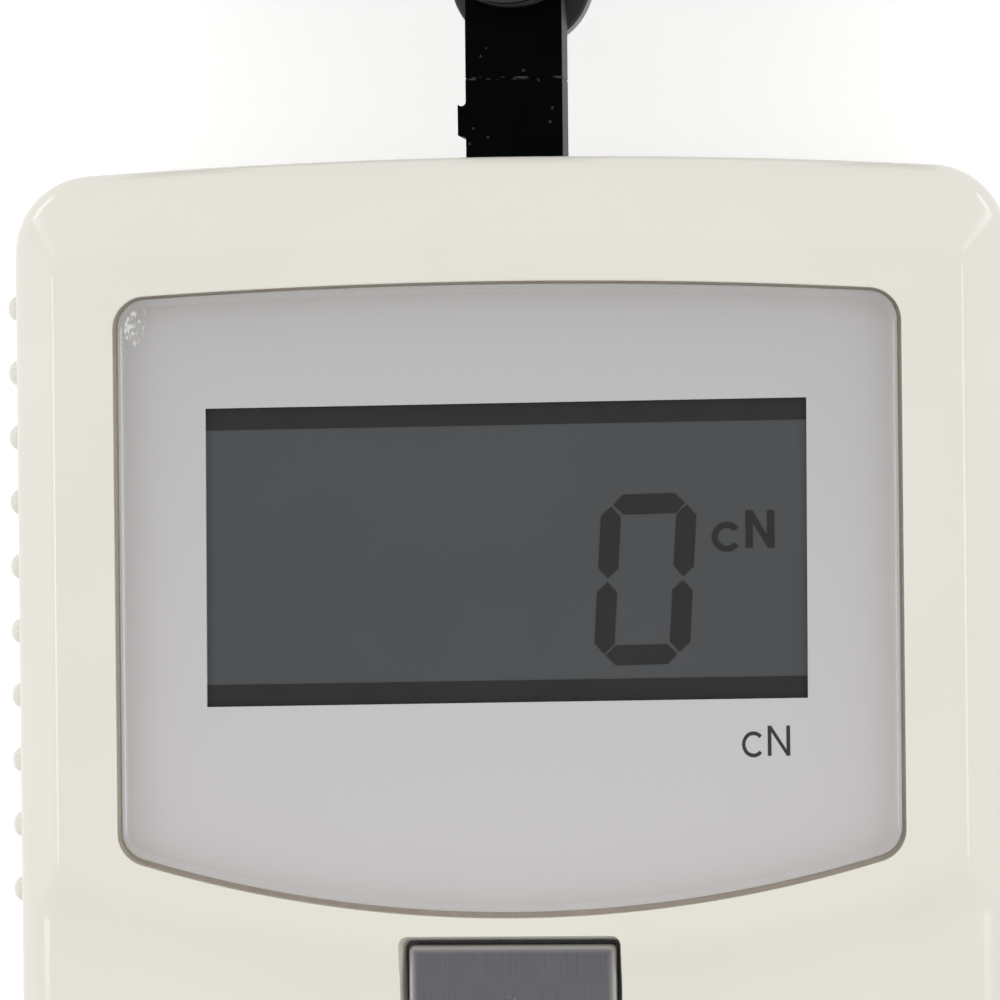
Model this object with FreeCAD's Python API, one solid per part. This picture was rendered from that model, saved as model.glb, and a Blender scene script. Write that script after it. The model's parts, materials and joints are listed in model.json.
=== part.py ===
import FreeCAD, Part
import math
import os

from FreeCAD import Vector

# Handheld cable tension meter with three grooved rollers, in millimetres.
# It lies on its back: +Z is the normal of the display face, +Y points to the
# measuring head and +X to the right of the display. The origin is the middle
# of the back rest face.

# Housing
HOUSING_LENGTH = 182.0
HOUSING_HALF = 42.3
HANDLE_HALF = 31.0
HOUSING_DEPTH = 39.0
PARTING_Z = 20.0
SHOULDER_DEPTH = 3.85
SIDE_BEVEL = 3.8
TOP_BEVEL = 6.8
BOTTOM_BEVEL = 5.5
TOP_ARC_R = 560.0
BOTTOM_ARC_R = 80.0
TOP_CORNER_R = 6.6
RIDGE_CORNER_R = 2.0
HANDLE_CORNER_R = 14.0
WAIST_TOP_Y = 4.0
WAIST_LENGTH = 45.0
BACK_EDGE_R = 3.0
WALL = 2.2
FLOOR = 2.4
ROOF = 3.8
SHADOW_GAP = 0.4
LIP_HEIGHT = 1.5
LIP_GAP = 0.1

# Anti-slip bumps on the side walls
BUMP_R = 1.15
BUMP_TIP_R = 0.6
BUMP_HEIGHT = 1.1
BUMP_SIDES = 8
BUMP_PITCH = 5.53
BUMP_ROWS = 10
BUMP_FIRST_BELOW_TOP = 12.3
FRONT_BUMP_LEVELS = [26.0, 31.5]
BACK_BUMP_LEVELS = [8.5, 14.0]

# Display window
WINDOW_BELOW_TOP = 37.6
WINDOW_IN = 8.92
WINDOW_UP = 26.9
WINDOW_DOWN = 26.84
WINDOW_TOP_R = 510.0
WINDOW_BOTTOM_R = 108.0
WINDOW_CORNER_R = 2.8
WINDOW_GAP = 0.38
LENS_RAISE = 0.12
LENS_THICKNESS = 2.2
LENS_BELOW_FACE = 0.1
LENS_EDGE = 0.4
PANEL_THICKNESS = 0.4
APERTURE_IN = 2.38
APERTURE_UP = 22.5
APERTURE_DOWN = 14.5
APERTURE_R = 2.0
STEP_RIM = 2.3
STEP_RUN = 4.5
STEP_DROP = 1.4

# Liquid crystal display
LCD_IN = 7.88
LCD_HEIGHT = 25.4
LCD_SHIFT_X = -0.3
LCD_SHIFT_Y = 3.95
LCD_BORDER = 2.0
LCD_GLASS = 1.8
BACKLIGHT_THICKNESS = 2.0
HOLDER_WALL = 1.6
SLIP = 0.15

# Keys
KEY_PROUD = 0.3
KEY_GAP = 0.6
KEY_TRAVEL = 0.8
KEY_SPARE = 0.1
KEY_CORNER_R = 0.8
KEY_FLANGE = 1.2
KEY_FLANGE_THICKNESS = 0.8
KEY_FLANGE_GAP = 0.3
KEY_STEM_R = 2.4
KEY_STEM = 0.5
POWER_KEY = 17.6
POWER_KEY_BELOW_WINDOW = 2.32
SMALL_KEY_WIDTH = 15.0
SMALL_KEY_HEIGHT = 8.0
SMALL_KEY_IN = 19.3
SMALL_KEY_UPPER_Y = 10.4
SMALL_KEY_PITCH = 14.0
KEY_EDGE = 0.35
MAT_THICKNESS = 0.8
MAT_RIM = 0.5
MAT_CORNER_R = 1.5
DOME_BASE_R = 4.0
DOME_TOP_R = 2.6

# Circuit board
BOARD_IN = 6.3
BOARD_TOP_Y = 75.0
BOARD_BOTTOM_Y = -12.0
BOARD_THICKNESS = 1.6
BOARD_FRONT_Z = 31.0
BOARD_POST_IN = 2.7
BOARD_POST_YS = [30.0, 69.0]
BOARD_POST_R = 2.4
BOARD_CORNER_R = 2.0
BOARD_SLIP = 0.8

# Parts on the back of the board: left, right, low and high side from its left bottom
# corner, and height
BOARD_PARTS = [
    (10.0, 20.0, 34.0, 44.0, 1.4),
    (48.0, 56.0, 42.0, 49.0, 1.2),
    (36.0, 39.0, 26.0, 33.0, 1.0),
    (6.0, 16.0, 14.0, 19.0, 4.0),
    (5.0, 13.0, 50.0, 55.0, 4.0),
]
BEEPER_IN = 14.0
BEEPER_UP = 24.0
BEEPER_R = 4.5
BEEPER_HEIGHT = 3.2

# Screws: shank radius, head radius and head height
SCREW_R = 1.3
SCREW_HEAD_R = 2.5
SCREW_HEAD = 2.0
SCREW_SLIP = 0.1
HEAD_SLIP = 0.3
SMALL_SCREW_R = 0.9
SMALL_HEAD_R = 1.8
SMALL_HEAD = 1.2
BOSS_R = 4.0
FRONT_BOSS_R = 3.25
BOSS_SEAT_Z = 8.0
BOSS_SCREW_LENGTH = 22.0
BOSS_IN = 6.8
WAIST_BOSS_IN = 11.0
WIDE_BOSS_YS = [80.0, -2.0]
WAIST_BOSS_Y = -20.0

# Battery compartment in the handle
CELL_R = 5.15
CELL_LENGTH = 43.6
CELL_NUB_R = 1.9
CELL_NUB = 0.8
CELL_COUNT = 4
CELL_PITCH = 10.8
CELL_SLIP = 0.3
CELLS_MIDDLE_Y = -55.0
CONTACT_ROOM = 3.6
CONTACT_THICKNESS = 0.3
CONTACT_WIDTH = 7.0
CONTACT_HEIGHT = 7.2
CONTACT_BOW = 0.6
CONTACT_SLIP = 0.1
TUB_WALL = 1.5
DOOR_THICKNESS = 2.1
DOOR_LIP = 0.8
DOOR_HALF = 24.0
DOOR_WING = 2.0
DOOR_TOP_Y = -26.0
DOOR_GAP = 0.2
DOOR_PAD = 1.7
DOOR_GRIP_GROOVES = 5
DOOR_GRIP_PITCH = 2.4
DOOR_GRIP_WIDTH = 18.0
DOOR_GRIP_R = 0.6
DOOR_GRIP_BELOW_TOP = 8.0

# Measuring head
ARM_WIDTH = 8.36
ARM_DEPTH = 6.2
ARM_FRONT_Z = 27.4
ARM_SLOT_GAP = 0.5
ARM_SEAM_ABOVE_TOP = 7.08
LUG_REACH = 0.72
LUG_ABOVE_TOP = 2.0
LUG_HEIGHT = 2.6
CENTRE_ROLLER_ABOVE_TOP = 19.8
OUTER_ROLLER_RISE = 5.5
OUTER_ROLLER_X = 33.0
ROLLER_R = 6.8
ROLLER_GROOVE_R = 4.6
ROLLER_WIDTH = 6.0
ROLLER_RIM = 0.7
ROLLER_GAP = 0.8
ROLLER_RIM_BEVEL = 0.3
AXLE_R = 1.5
AXLE_HEAD_R = 2.5
AXLE_HEAD = 1.6
AXLE_HEX = 1.2
BEARING_R = 3.0
BEARING_SINK = 0.2
RING_WALL = 0.55
AXLE_SPACER_R = 2.0
POST_R = 3.6
POST_NECK = 0.8
DOWEL_R = 1.0
DOWEL_LENGTH = 8.0
DOWEL_X = 2.4
DOWEL_SLIP = 0.05
ARM_SCREW_DEPTH = 8.0

# Load cell and the chassis that carries it
LOAD_CELL_IN = 5.8
LOAD_CELL_RIGHT_X = 6.2
LOAD_CELL_Y = 56.0
LOAD_CELL_HEIGHT = 12.0
LOAD_CELL_HOLE_R = 3.4
LOAD_CELL_FIRST_HOLE = 25.2
LOAD_CELL_HOLE_PITCH = 9.0
LOAD_CELL_SLOT = 2.6
GAUGE_LENGTH = 5.0
GAUGE_WIDTH = 4.0
GAUGE_THICKNESS = 0.15
MOUNT_BLOCK_LENGTH = 12.0
CHASSIS_Z = 6.0
CHASSIS_THICKNESS = 3.0
CHASSIS_IN = 4.3
CHASSIS_RIGHT_X = 19.0
CHASSIS_BOTTOM_Y = 47.5
CHASSIS_TOP_Y = 86.0
CHASSIS_CORNER_R = 3.0
CHASSIS_SCREW_IN = 5.0
CHASSIS_UPPER_SCREW_IN = 18.0
CHASSIS_RIGHT_SCREW_IN = 3.5
CHASSIS_SCREW_EDGE = 4.0
CHASSIS_BOSS_R = 3.2
CHASSIS_FLOOR_LEFT = 0.6
BLOCK_SCREW_EDGE = 3.8
CLAMP_SCREW_PITCH = 6.0
CLAMP_SCREW_LENGTH = 12.2

# Roller carriage with its guide, return springs and thumb slider
CARRIAGE_THICKNESS = 3.5
CARRIAGE_BEHIND_ARM = 2.5
CARRIAGE_TRAVEL = 8.5
STEM_HALF = 3.6
STEM_BOTTOM_Y = 48.0
FOOT_HALF = 12.0
FOOT_HEIGHT = 7.0
HUB_R = 6.2
HUB_ABOVE_TOP = 16.4
BAR_ROOT_ANGLE = -13.0
BAR_END_R = 5.4
BAR_VALLEY_R = 25.0
GUIDE_BOTTOM_Y = 70.0
GUIDE_HALF = 12.0
GUIDE_LENGTH = 16.0
GUIDE_ROOF = 0.85
LINER_WALL = 1.0
RUN_GAP = 0.15
SPRING_X = 8.5
SPRING_R = 2.3
SPRING_WIRE_R = 0.35
SPRING_TURNS = 5
SPRING_STEPS = 12
SPRING_END_GAP = 0.1
ROD_R = 1.3
ROD_SUNK = 3.0
ROD_REACH = 3.0
ROD_SLIP = 0.3
LINK_THICKNESS = 2.0
LINK_WIDTH = 6.0
LINK_IN = 10.8
LINK_BOTTOM_Y = 6.0
LINK_CORNER_R = 2.0
LINK_LEFT_X = -6.0
LINK_SCREW_X = 1.0
LINK_SCREW_PITCH = 6.0
SLIDER_BOTTOM_Y = 5.0
SLIDER_LENGTH = 13.0
SLIDER_HEIGHT = 12.0
SLIDER_PROUD = 3.0
SLIDER_GAP = 0.25
SLIDER_EDGE_R = 1.0
SLIDER_RIBS = 4
SLIDER_RIB_PITCH = 2.6
SLIDER_GROOVE_R = 0.9
SLIDER_GROOVE_DEPTH = 0.6
SLIDER_NECK_LENGTH = 8.0
SLIDER_NECK_HEIGHT = 5.5
SLOT_END_GAP = 0.5
SLOT_SIDE_GAP = 0.25

# Levels and places that follow from the sizes above
TOP_Y = HOUSING_LENGTH / 2
FACE_Z = HOUSING_DEPTH
SHOULDER_Z = FACE_Z - SHOULDER_DEPTH
KEYPAD_Z = FACE_Z - STEP_DROP
ROOF_Z = FACE_Z - ROOF
WINDOW_Y = TOP_Y - WINDOW_BELOW_TOP
WINDOW_HALF = HOUSING_HALF - WINDOW_IN
APERTURE_HALF = WINDOW_HALF - APERTURE_IN
LCD_WIDTH = 2 * (WINDOW_HALF - LCD_IN)
SMALL_KEY_X = HOUSING_HALF - SMALL_KEY_IN
BOARD_HALF = HOUSING_HALF - BOARD_IN
BOARD_POST_X = BOARD_HALF - BOARD_POST_IN
LINK_X = HOUSING_HALF - LINK_IN
LOAD_CELL_LEFT_X = LOAD_CELL_IN - HOUSING_HALF
LOAD_CELL_HOLE_XS = [LOAD_CELL_RIGHT_X - LOAD_CELL_FIRST_HOLE + i * LOAD_CELL_HOLE_PITCH for i in range(2)]
CHASSIS_LEFT_X = CHASSIS_IN - HOUSING_HALF
CHASSIS_SCREWS = [
    (CHASSIS_LEFT_X + CHASSIS_SCREW_IN, CHASSIS_BOTTOM_Y + CHASSIS_SCREW_EDGE),
    (CHASSIS_LEFT_X + CHASSIS_UPPER_SCREW_IN, CHASSIS_TOP_Y - CHASSIS_SCREW_EDGE),
    (CHASSIS_RIGHT_X - CHASSIS_RIGHT_SCREW_IN, CHASSIS_BOTTOM_Y + CHASSIS_SCREW_EDGE),
    (CHASSIS_RIGHT_X - CHASSIS_RIGHT_SCREW_IN, CHASSIS_TOP_Y - CHASSIS_SCREW_EDGE),
]
WAIST_STEP = HOUSING_HALF - HANDLE_HALF
WAIST_R = (WAIST_LENGTH ** 2 + WAIST_STEP ** 2) / (4 * WAIST_STEP)
WAIST_BOSS_X = (HOUSING_HALF + HANDLE_HALF) / 2 - WAIST_BOSS_IN
BOSS_PLACES = [(HOUSING_HALF - BOSS_IN, y) for y in WIDE_BOSS_YS] + [(WAIST_BOSS_X, WAIST_BOSS_Y)]
LENS_FRONT_Z = FACE_Z - LENS_BELOW_FACE
LENS_BACK_Z = LENS_FRONT_Z - LENS_THICKNESS
LEDGE_Z = LENS_BACK_Z - PANEL_THICKNESS
LCD_X = LCD_SHIFT_X
LCD_Y = WINDOW_Y + LCD_SHIFT_Y
LCD_BACK_Z = LEDGE_Z - LCD_GLASS
BACKLIGHT_BACK_Z = LCD_BACK_Z - BACKLIGHT_THICKNESS
BOARD_BACK_Z = BOARD_FRONT_Z - BOARD_THICKNESS
KEY_TOP_Z = KEYPAD_Z + KEY_PROUD
FLANGE_TOP_Z = ROOF_Z - KEY_FLANGE_GAP
FLANGE_BACK_Z = FLANGE_TOP_Z - KEY_FLANGE_THICKNESS
KEY_BACK_Z = FLANGE_BACK_Z - KEY_STEM
DOME_TOP_Z = KEY_BACK_Z - KEY_TRAVEL - KEY_SPARE
POWER_KEY_Y = WINDOW_Y - WINDOW_DOWN - POWER_KEY_BELOW_WINDOW - POWER_KEY / 2
SMALL_KEY_LOWER_Y = SMALL_KEY_UPPER_Y - SMALL_KEY_PITCH
ARM_HALF = ARM_WIDTH / 2
ARM_BACK_Z = ARM_FRONT_Z - ARM_DEPTH
ARM_MIDDLE_Z = (ARM_FRONT_Z + ARM_BACK_Z) / 2
ARM_SEAM_Y = TOP_Y + ARM_SEAM_ABOVE_TOP
ROLLER_Y = TOP_Y + CENTRE_ROLLER_ABOVE_TOP
OUTER_ROLLER_Y = ROLLER_Y + OUTER_ROLLER_RISE
ROLLER_BACK_Z = ARM_FRONT_Z + ROLLER_GAP
ROLLER_FRONT_Z = ROLLER_BACK_Z + ROLLER_WIDTH
BEARING_BACK_Z = ROLLER_BACK_Z + BEARING_SINK
BEARING_FRONT_Z = ROLLER_FRONT_Z - BEARING_SINK
LOAD_CELL_TOP_Y = LOAD_CELL_Y + LOAD_CELL_HEIGHT
LOAD_CELL_MIDDLE_Y = LOAD_CELL_Y + LOAD_CELL_HEIGHT / 2
CHASSIS_TOP_Z = CHASSIS_Z + CHASSIS_THICKNESS
CARRIAGE_FRONT_Z = ARM_BACK_Z - CARRIAGE_BEHIND_ARM
CARRIAGE_BACK_Z = CARRIAGE_FRONT_Z - CARRIAGE_THICKNESS
CARRIAGE_MIDDLE_Z = (CARRIAGE_FRONT_Z + CARRIAGE_BACK_Z) / 2
FOOT_TOP_Y = STEM_BOTTOM_Y + FOOT_HEIGHT
LINER_HALF = STEM_HALF + RUN_GAP + LINER_WALL
LINER_BACK_Z = CARRIAGE_BACK_Z - RUN_GAP - LINER_WALL
LINER_FRONT_Z = CARRIAGE_FRONT_Z + RUN_GAP + LINER_WALL
GUIDE_FRONT_Z = LINER_FRONT_Z + GUIDE_ROOF
GUIDE_TOP_Y = GUIDE_BOTTOM_Y + GUIDE_LENGTH
LINK_FRONT_Z = CARRIAGE_BACK_Z
LINK_BACK_Z = LINK_FRONT_Z - LINK_THICKNESS
SLIDER_MIDDLE_Z = PARTING_Z
NECK_BOTTOM_Y = SLIDER_BOTTOM_Y + (SLIDER_LENGTH - SLIDER_NECK_LENGTH) / 2
CELLS_HALF = CELL_PITCH * (CELL_COUNT - 1) / 2 + CELL_R + CELL_SLIP
TUB_LENGTH = CELL_LENGTH + CELL_NUB + 2 * CONTACT_ROOM
TUB_TOP_Y = CELLS_MIDDLE_Y + TUB_LENGTH / 2
TUB_BOTTOM_Y = CELLS_MIDDLE_Y - TUB_LENGTH / 2
DOOR_CHANNEL_Z = DOOR_THICKNESS + DOOR_GAP
CELL_Z = DOOR_CHANNEL_Z + CELL_SLIP + CELL_R
TUB_ROOF_Z = CELL_Z + CELL_R + CELL_SLIP


def box(x0, x1, y0, y1, z0, z1):
    return Part.makeBox(x1 - x0, y1 - y0, z1 - z0, Vector(x0, y0, z0))


def rounded_box(x0, x1, y0, y1, z0, z1, radius):
    block = box(x0, x1, y0, y1, z0, z1)
    upright = [e for e in block.Edges if abs(e.tangentAt(0).z) > 0.9]
    return block.makeFillet(radius, upright)


def cylinder(x, y, z0, z1, radius):
    return Part.makeCylinder(radius, z1 - z0, Vector(x, y, z0))


def cylinder_y(x, z, y0, y1, radius):
    return Part.makeCylinder(radius, y1 - y0, Vector(x, y0, z), Vector(0, 1, 0))


def ring(x, y, z0, z1, outer, inner):
    return cylinder(x, y, z0, z1, outer).cut(cylinder(x, y, z0, z1, inner))


def slab(wire, height):
    return Part.Face(wire).extrude(Vector(0, 0, height))


def joined(shapes):
    return shapes[0].multiFuse(shapes[1:]).removeSplitter()


def both_sides(places):
    return [(side * x, y) for x, y in places for side in (-1, 1)]


def polar(centre, radius, degrees):
    angle = math.radians(degrees)
    return (centre[0] + radius * math.cos(angle), centre[1] + radius * math.sin(angle))


def bow(centre, radius, start, end):
    """Start, middle and end point of an arc between two angles in degrees."""
    return [polar(centre, radius, a) for a in (start, (start + end) / 2, end)]


def wire_of(segments, z):
    """A closed wire of straight edges (two points) and arcs (three points)."""
    edges = []
    for segment in segments:
        points = [Vector(x, y, z) for x, y in segment]
        if len(points) == 2:
            edges.append(Part.makeLine(*points))
        else:
            edges.append(Part.Arc(*points).toShape())
    return Part.Wire(edges)


def mirrored(segments):
    return [[(-x, y) for x, y in reversed(s)] for s in reversed(segments)]


def crowned_corner(half, centre_y, arc_r, corner_r, sign):
    """Corner arc between an upright side and a crowned end; its middle and end angles."""
    x = half - corner_r
    rise = math.sqrt((arc_r - corner_r) ** 2 - x ** 2)
    middle = (x, centre_y + sign * rise)
    return middle, math.degrees(math.atan2(sign * rise, x))


def housing_wire(z, side=0.0, top=0.0, bottom=0.0, top_corner=TOP_CORNER_R, handle_corner=HANDLE_CORNER_R):
    """Plan outline of the housing, drawn in by a margin at the side, top and bottom."""
    half = HOUSING_HALF - side
    handle = HANDLE_HALF - side
    top_centre = (0, TOP_Y - TOP_ARC_R)
    bottom_centre = (0, BOTTOM_ARC_R - TOP_Y)
    upper, upper_angle = crowned_corner(half, top_centre[1], TOP_ARC_R - top, top_corner, 1)
    lower, lower_angle = crowned_corner(handle, bottom_centre[1], BOTTOM_ARC_R - bottom, handle_corner, -1)
    hip = (HOUSING_HALF - WAIST_R, WAIST_TOP_Y)
    hollow = (HANDLE_HALF + WAIST_R, WAIST_TOP_Y - WAIST_LENGTH)
    turn = -math.degrees(math.atan2(WAIST_LENGTH, hollow[0] - hip[0]))
    right = [
        bow(lower, handle_corner, lower_angle, 0),
        [(handle, lower[1]), (handle, hollow[1])],
        bow(hollow, WAIST_R + side, 180, 180 + turn),
        bow(hip, WAIST_R - side, turn, 0),
        [(half, hip[1]), (half, upper[1])],
        bow(upper, top_corner, 0, upper_angle),
    ]
    crown = bow(top_centre, TOP_ARC_R - top, upper_angle, 180 - upper_angle)
    sole = bow(bottom_centre, BOTTOM_ARC_R - bottom, -180 - lower_angle, lower_angle)
    return wire_of(right + [crown] + mirrored(right) + [sole], z)


def inner_wire(z, margin):
    """The housing outline, drawn in by the same margin all round."""
    top_corner = max(TOP_CORNER_R - margin, 1.0)
    handle_corner = max(HANDLE_CORNER_R - margin, 1.0)
    return housing_wire(z, margin, margin, margin, top_corner, handle_corner)


def window_wire(z, margin):
    """Outline of the display window: two upright sides, a flat crown and a deep belly."""
    half = WINDOW_HALF - margin
    corner_r = WINDOW_CORNER_R - margin
    top_centre = (0, WINDOW_Y + WINDOW_UP - WINDOW_TOP_R)
    belly_centre = (0, WINDOW_Y - WINDOW_DOWN + WINDOW_BOTTOM_R)
    top_r = WINDOW_TOP_R - margin
    belly_r = WINDOW_BOTTOM_R - margin
    upper, upper_angle = crowned_corner(half, top_centre[1], top_r, corner_r, 1)
    lower, lower_angle = crowned_corner(half, belly_centre[1], belly_r, corner_r, -1)
    right = [
        bow(lower, corner_r, lower_angle, 0),
        [(half, lower[1]), (half, upper[1])],
        bow(upper, corner_r, 0, upper_angle),
    ]
    crown = bow(top_centre, top_r, upper_angle, 180 - upper_angle)
    belly = bow(belly_centre, belly_r, -180 - lower_angle, lower_angle)
    return wire_of(right + [crown] + mirrored(right) + [belly], z)


def key_places():
    """Name, middle, width and height of each key."""
    small = (SMALL_KEY_WIDTH, SMALL_KEY_HEIGHT)
    return [
        ("power_key", (0.0, POWER_KEY_Y), (POWER_KEY, POWER_KEY)),
        ("zero_key", (-SMALL_KEY_X, SMALL_KEY_UPPER_Y), small),
        ("hold_key", (SMALL_KEY_X, SMALL_KEY_UPPER_Y), small),
        ("unit_key", (-SMALL_KEY_X, SMALL_KEY_LOWER_Y), small),
        ("peak_key", (SMALL_KEY_X, SMALL_KEY_LOWER_Y), small),
    ]


def keypad_step():
    """What is cut from the face below the window, down a sloping curved step."""
    centre_y = WINDOW_Y - WINDOW_DOWN + WINDOW_BOTTOM_R
    upper_r = WINDOW_BOTTOM_R + STEP_RIM
    lower_r = upper_r + STEP_RUN
    over = 1.0
    tip_r = upper_r - STEP_RUN / STEP_DROP * over
    island = Part.makeCone(lower_r, tip_r, STEP_DROP + over, Vector(0, centre_y, KEYPAD_Z))
    slice_ = box(-HOUSING_HALF, HOUSING_HALF, -TOP_Y, centre_y, KEYPAD_Z, FACE_Z + over)
    return slice_.cut(island)


def bump(side, y, z):
    """One low anti-slip stud that tapers outwards from a side wall."""
    rings = []
    for out, radius in [(-WALL / 2, BUMP_R), (0, BUMP_R), (BUMP_HEIGHT, BUMP_TIP_R)]:
        corners = [polar((y, z), radius, 360 * (i + 0.5) / BUMP_SIDES) for i in range(BUMP_SIDES)]
        places = [Vector(side * (HOUSING_HALF + out), b, c) for b, c in corners]
        rings.append(Part.makePolygon(places + places[:1]))
    return Part.makeLoft(rings, True, True)


def bumps(levels):
    """Anti-slip studs in straight rows on both side walls."""
    studs = []
    for row in range(BUMP_ROWS):
        y = TOP_Y - BUMP_FIRST_BELOW_TOP - row * BUMP_PITCH
        for z in levels:
            studs += [bump(-1, y, z), bump(1, y, z)]
    return studs


def head_slot():
    """The way out of the top wall for the measuring arm and the carriage stem."""
    arm_half = ARM_HALF + ARM_SLOT_GAP
    stem_half = STEM_HALF + ARM_SLOT_GAP
    inside = TOP_Y - 4 * WALL
    outside = TOP_Y + 1.0
    low = CARRIAGE_BACK_Z - ARM_SLOT_GAP
    high = ARM_FRONT_Z + ARM_SLOT_GAP
    arm_way = box(-arm_half, arm_half, inside, outside, PARTING_Z, high)
    stem_way = box(-stem_half, stem_half, inside, outside, low, PARTING_Z)
    return arm_way.fuse(stem_way)


def slider_slot():
    """The slot in the right wall that the neck of the thumb slider runs in."""
    low = SLIDER_MIDDLE_Z - SLIDER_NECK_HEIGHT / 2 - SLOT_SIDE_GAP
    high = SLIDER_MIDDLE_Z + SLIDER_NECK_HEIGHT / 2 + SLOT_SIDE_GAP
    end_y = NECK_BOTTOM_Y + SLIDER_NECK_LENGTH + CARRIAGE_TRAVEL + SLOT_END_GAP
    return box(HOUSING_HALF - 2 * WALL, HOUSING_HALF + 1, NECK_BOTTOM_Y - SLOT_END_GAP, end_y, low, high)


def front_cover():
    wall = slab(housing_wire(PARTING_Z), SHOULDER_Z - PARTING_Z)
    ridge = housing_wire(FACE_Z, SIDE_BEVEL, TOP_BEVEL, BOTTOM_BEVEL, RIDGE_CORNER_R,
                         HANDLE_CORNER_R - SIDE_BEVEL)
    bevel = Part.makeLoft([housing_wire(SHOULDER_Z), ridge], True, True)
    body = wall.fuse(bevel).cut(keypad_step())
    body = body.cut(slab(inner_wire(PARTING_Z, WALL), ROOF_Z - PARTING_Z))
    lip = slab(inner_wire(PARTING_Z - LIP_HEIGHT, WALL / 2 + LIP_GAP), 2 * LIP_HEIGHT)
    lip = lip.cut(slab(inner_wire(PARTING_Z - LIP_HEIGHT, WALL), 2 * LIP_HEIGHT))
    adds = [lip] + bumps(FRONT_BUMP_LEVELS)
    for x, y in both_sides(BOSS_PLACES):
        adds.append(cylinder(x, y, PARTING_Z, ROOF_Z, FRONT_BOSS_R))
    for x, y in both_sides([(BOARD_POST_X, y) for y in BOARD_POST_YS]):
        adds.append(cylinder(x, y, BOARD_FRONT_Z, ROOF_Z, BOARD_POST_R))
    body = body.multiFuse(adds)
    cuts = [
        slab(window_wire(LEDGE_Z, 0.0), FACE_Z - LEDGE_Z + 1),
        rounded_box(-APERTURE_HALF, APERTURE_HALF, WINDOW_Y - APERTURE_DOWN, WINDOW_Y + APERTURE_UP,
                    BOARD_FRONT_Z, FACE_Z, APERTURE_R),
        head_slot(),
        slider_slot(),
    ]
    for _, (x, y), (width, height) in key_places():
        cuts.append(rounded_box(x - width / 2 - KEY_GAP, x + width / 2 + KEY_GAP,
                                y - height / 2 - KEY_GAP, y + height / 2 + KEY_GAP,
                                ROOF_Z - 1, FACE_Z + 1, KEY_CORNER_R))
    for x, y in both_sides(BOSS_PLACES):
        cuts.append(cylinder(x, y, PARTING_Z, BOSS_SEAT_Z + BOSS_SCREW_LENGTH + 1, SCREW_R + SCREW_SLIP))
    for x, y in both_sides([(BOARD_POST_X, y) for y in BOARD_POST_YS]):
        cuts.append(cylinder(x, y, BOARD_FRONT_Z, ROOF_Z, SMALL_SCREW_R + SCREW_SLIP))
    return body.cut(Part.makeCompound(cuts))


def back_form():
    """The outer form of the rear cover, with its rounded back edge."""
    form = slab(housing_wire(0.0), PARTING_Z - SHADOW_GAP)
    back_edges = [e for e in form.Edges if e.BoundBox.ZMax < 0.01]
    form = form.makeFillet(BACK_EDGE_R, back_edges)
    return form.fuse(slab(inner_wire(PARTING_Z - SHADOW_GAP, SHADOW_GAP), SHADOW_GAP))


def door_way(gap):
    """T-shaped way of the battery cover, open at the bottom end of the handle."""
    top = DOOR_TOP_Y - gap
    end = -TOP_Y - 5
    high = DOOR_CHANNEL_Z - gap
    lip = DOOR_LIP + gap
    plate = box(-DOOR_HALF + gap, DOOR_HALF - gap, end, top, -1, high)
    wing = DOOR_HALF + DOOR_WING - gap
    return plate.fuse(box(-wing, wing, end, top, lip, high))


def rear_cover():
    form = back_form()
    inside = slab(inner_wire(FLOOR, WALL), PARTING_Z)
    groove = slab(inner_wire(PARTING_Z - LIP_HEIGHT - LIP_GAP, WALL / 2), PARTING_Z)
    pad_half = DOOR_HALF + DOOR_WING + TUB_WALL
    tub_half = CELLS_HALF + TUB_WALL
    adds = [
        box(-pad_half, pad_half, -TOP_Y, DOOR_TOP_Y + TUB_WALL, FLOOR, DOOR_CHANNEL_Z + DOOR_PAD),
        box(-tub_half, tub_half, TUB_BOTTOM_Y - TUB_WALL, TUB_TOP_Y + TUB_WALL, FLOOR, TUB_ROOF_Z + TUB_WALL),
    ]
    for x, y in both_sides(BOSS_PLACES):
        adds.append(cylinder(x, y, FLOOR, BOSS_SEAT_Z + TUB_WALL, BOSS_R))
        adds.append(cylinder(x, y, FLOOR, PARTING_Z, FRONT_BOSS_R))
    for x, y in CHASSIS_SCREWS:
        adds.append(cylinder(x, y, FLOOR, CHASSIS_Z, CHASSIS_BOSS_R))
    fill = joined(adds).common(slab(housing_wire(0.0), PARTING_Z))
    body = form.cut(inside).cut(groove).fuse(fill.common(form)).multiFuse(bumps(BACK_BUMP_LEVELS))
    cuts = [
        door_way(0.0),
        box(-CELLS_HALF, CELLS_HALF, TUB_BOTTOM_Y, TUB_TOP_Y, 0, TUB_ROOF_Z),
        head_slot(),
        slider_slot(),
    ]
    for x, y in both_sides(BOSS_PLACES):
        cuts.append(cylinder(x, y, -1, BOSS_SEAT_Z, SCREW_HEAD_R + HEAD_SLIP))
        cuts.append(cylinder(x, y, -1, PARTING_Z + 1, SCREW_R + SCREW_SLIP))
    for x, y in CHASSIS_SCREWS:
        cuts.append(cylinder(x, y, FLOOR + CHASSIS_FLOOR_LEFT, CHASSIS_Z + 1, SCREW_R + SCREW_SLIP))
    return body.cut(Part.makeCompound(cuts))


def battery_cover():
    """Sliding cover, cut from the rear form so that its end wraps the handle's end."""
    door = door_way(DOOR_GAP).common(back_form())
    grooves = []
    first = DOOR_TOP_Y - DOOR_GRIP_BELOW_TOP
    for row in range(DOOR_GRIP_GROOVES):
        y = first - row * DOOR_GRIP_PITCH
        start = Vector(-DOOR_GRIP_WIDTH / 2, y, 0)
        groove = Part.makeCylinder(DOOR_GRIP_R, DOOR_GRIP_WIDTH, start, Vector(1, 0, 0))
        grooves.append(groove)
    return door.cut(Part.makeCompound(grooves))


def cell_xs():
    return [(i - (CELL_COUNT - 1) / 2) * CELL_PITCH for i in range(CELL_COUNT)]


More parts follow.
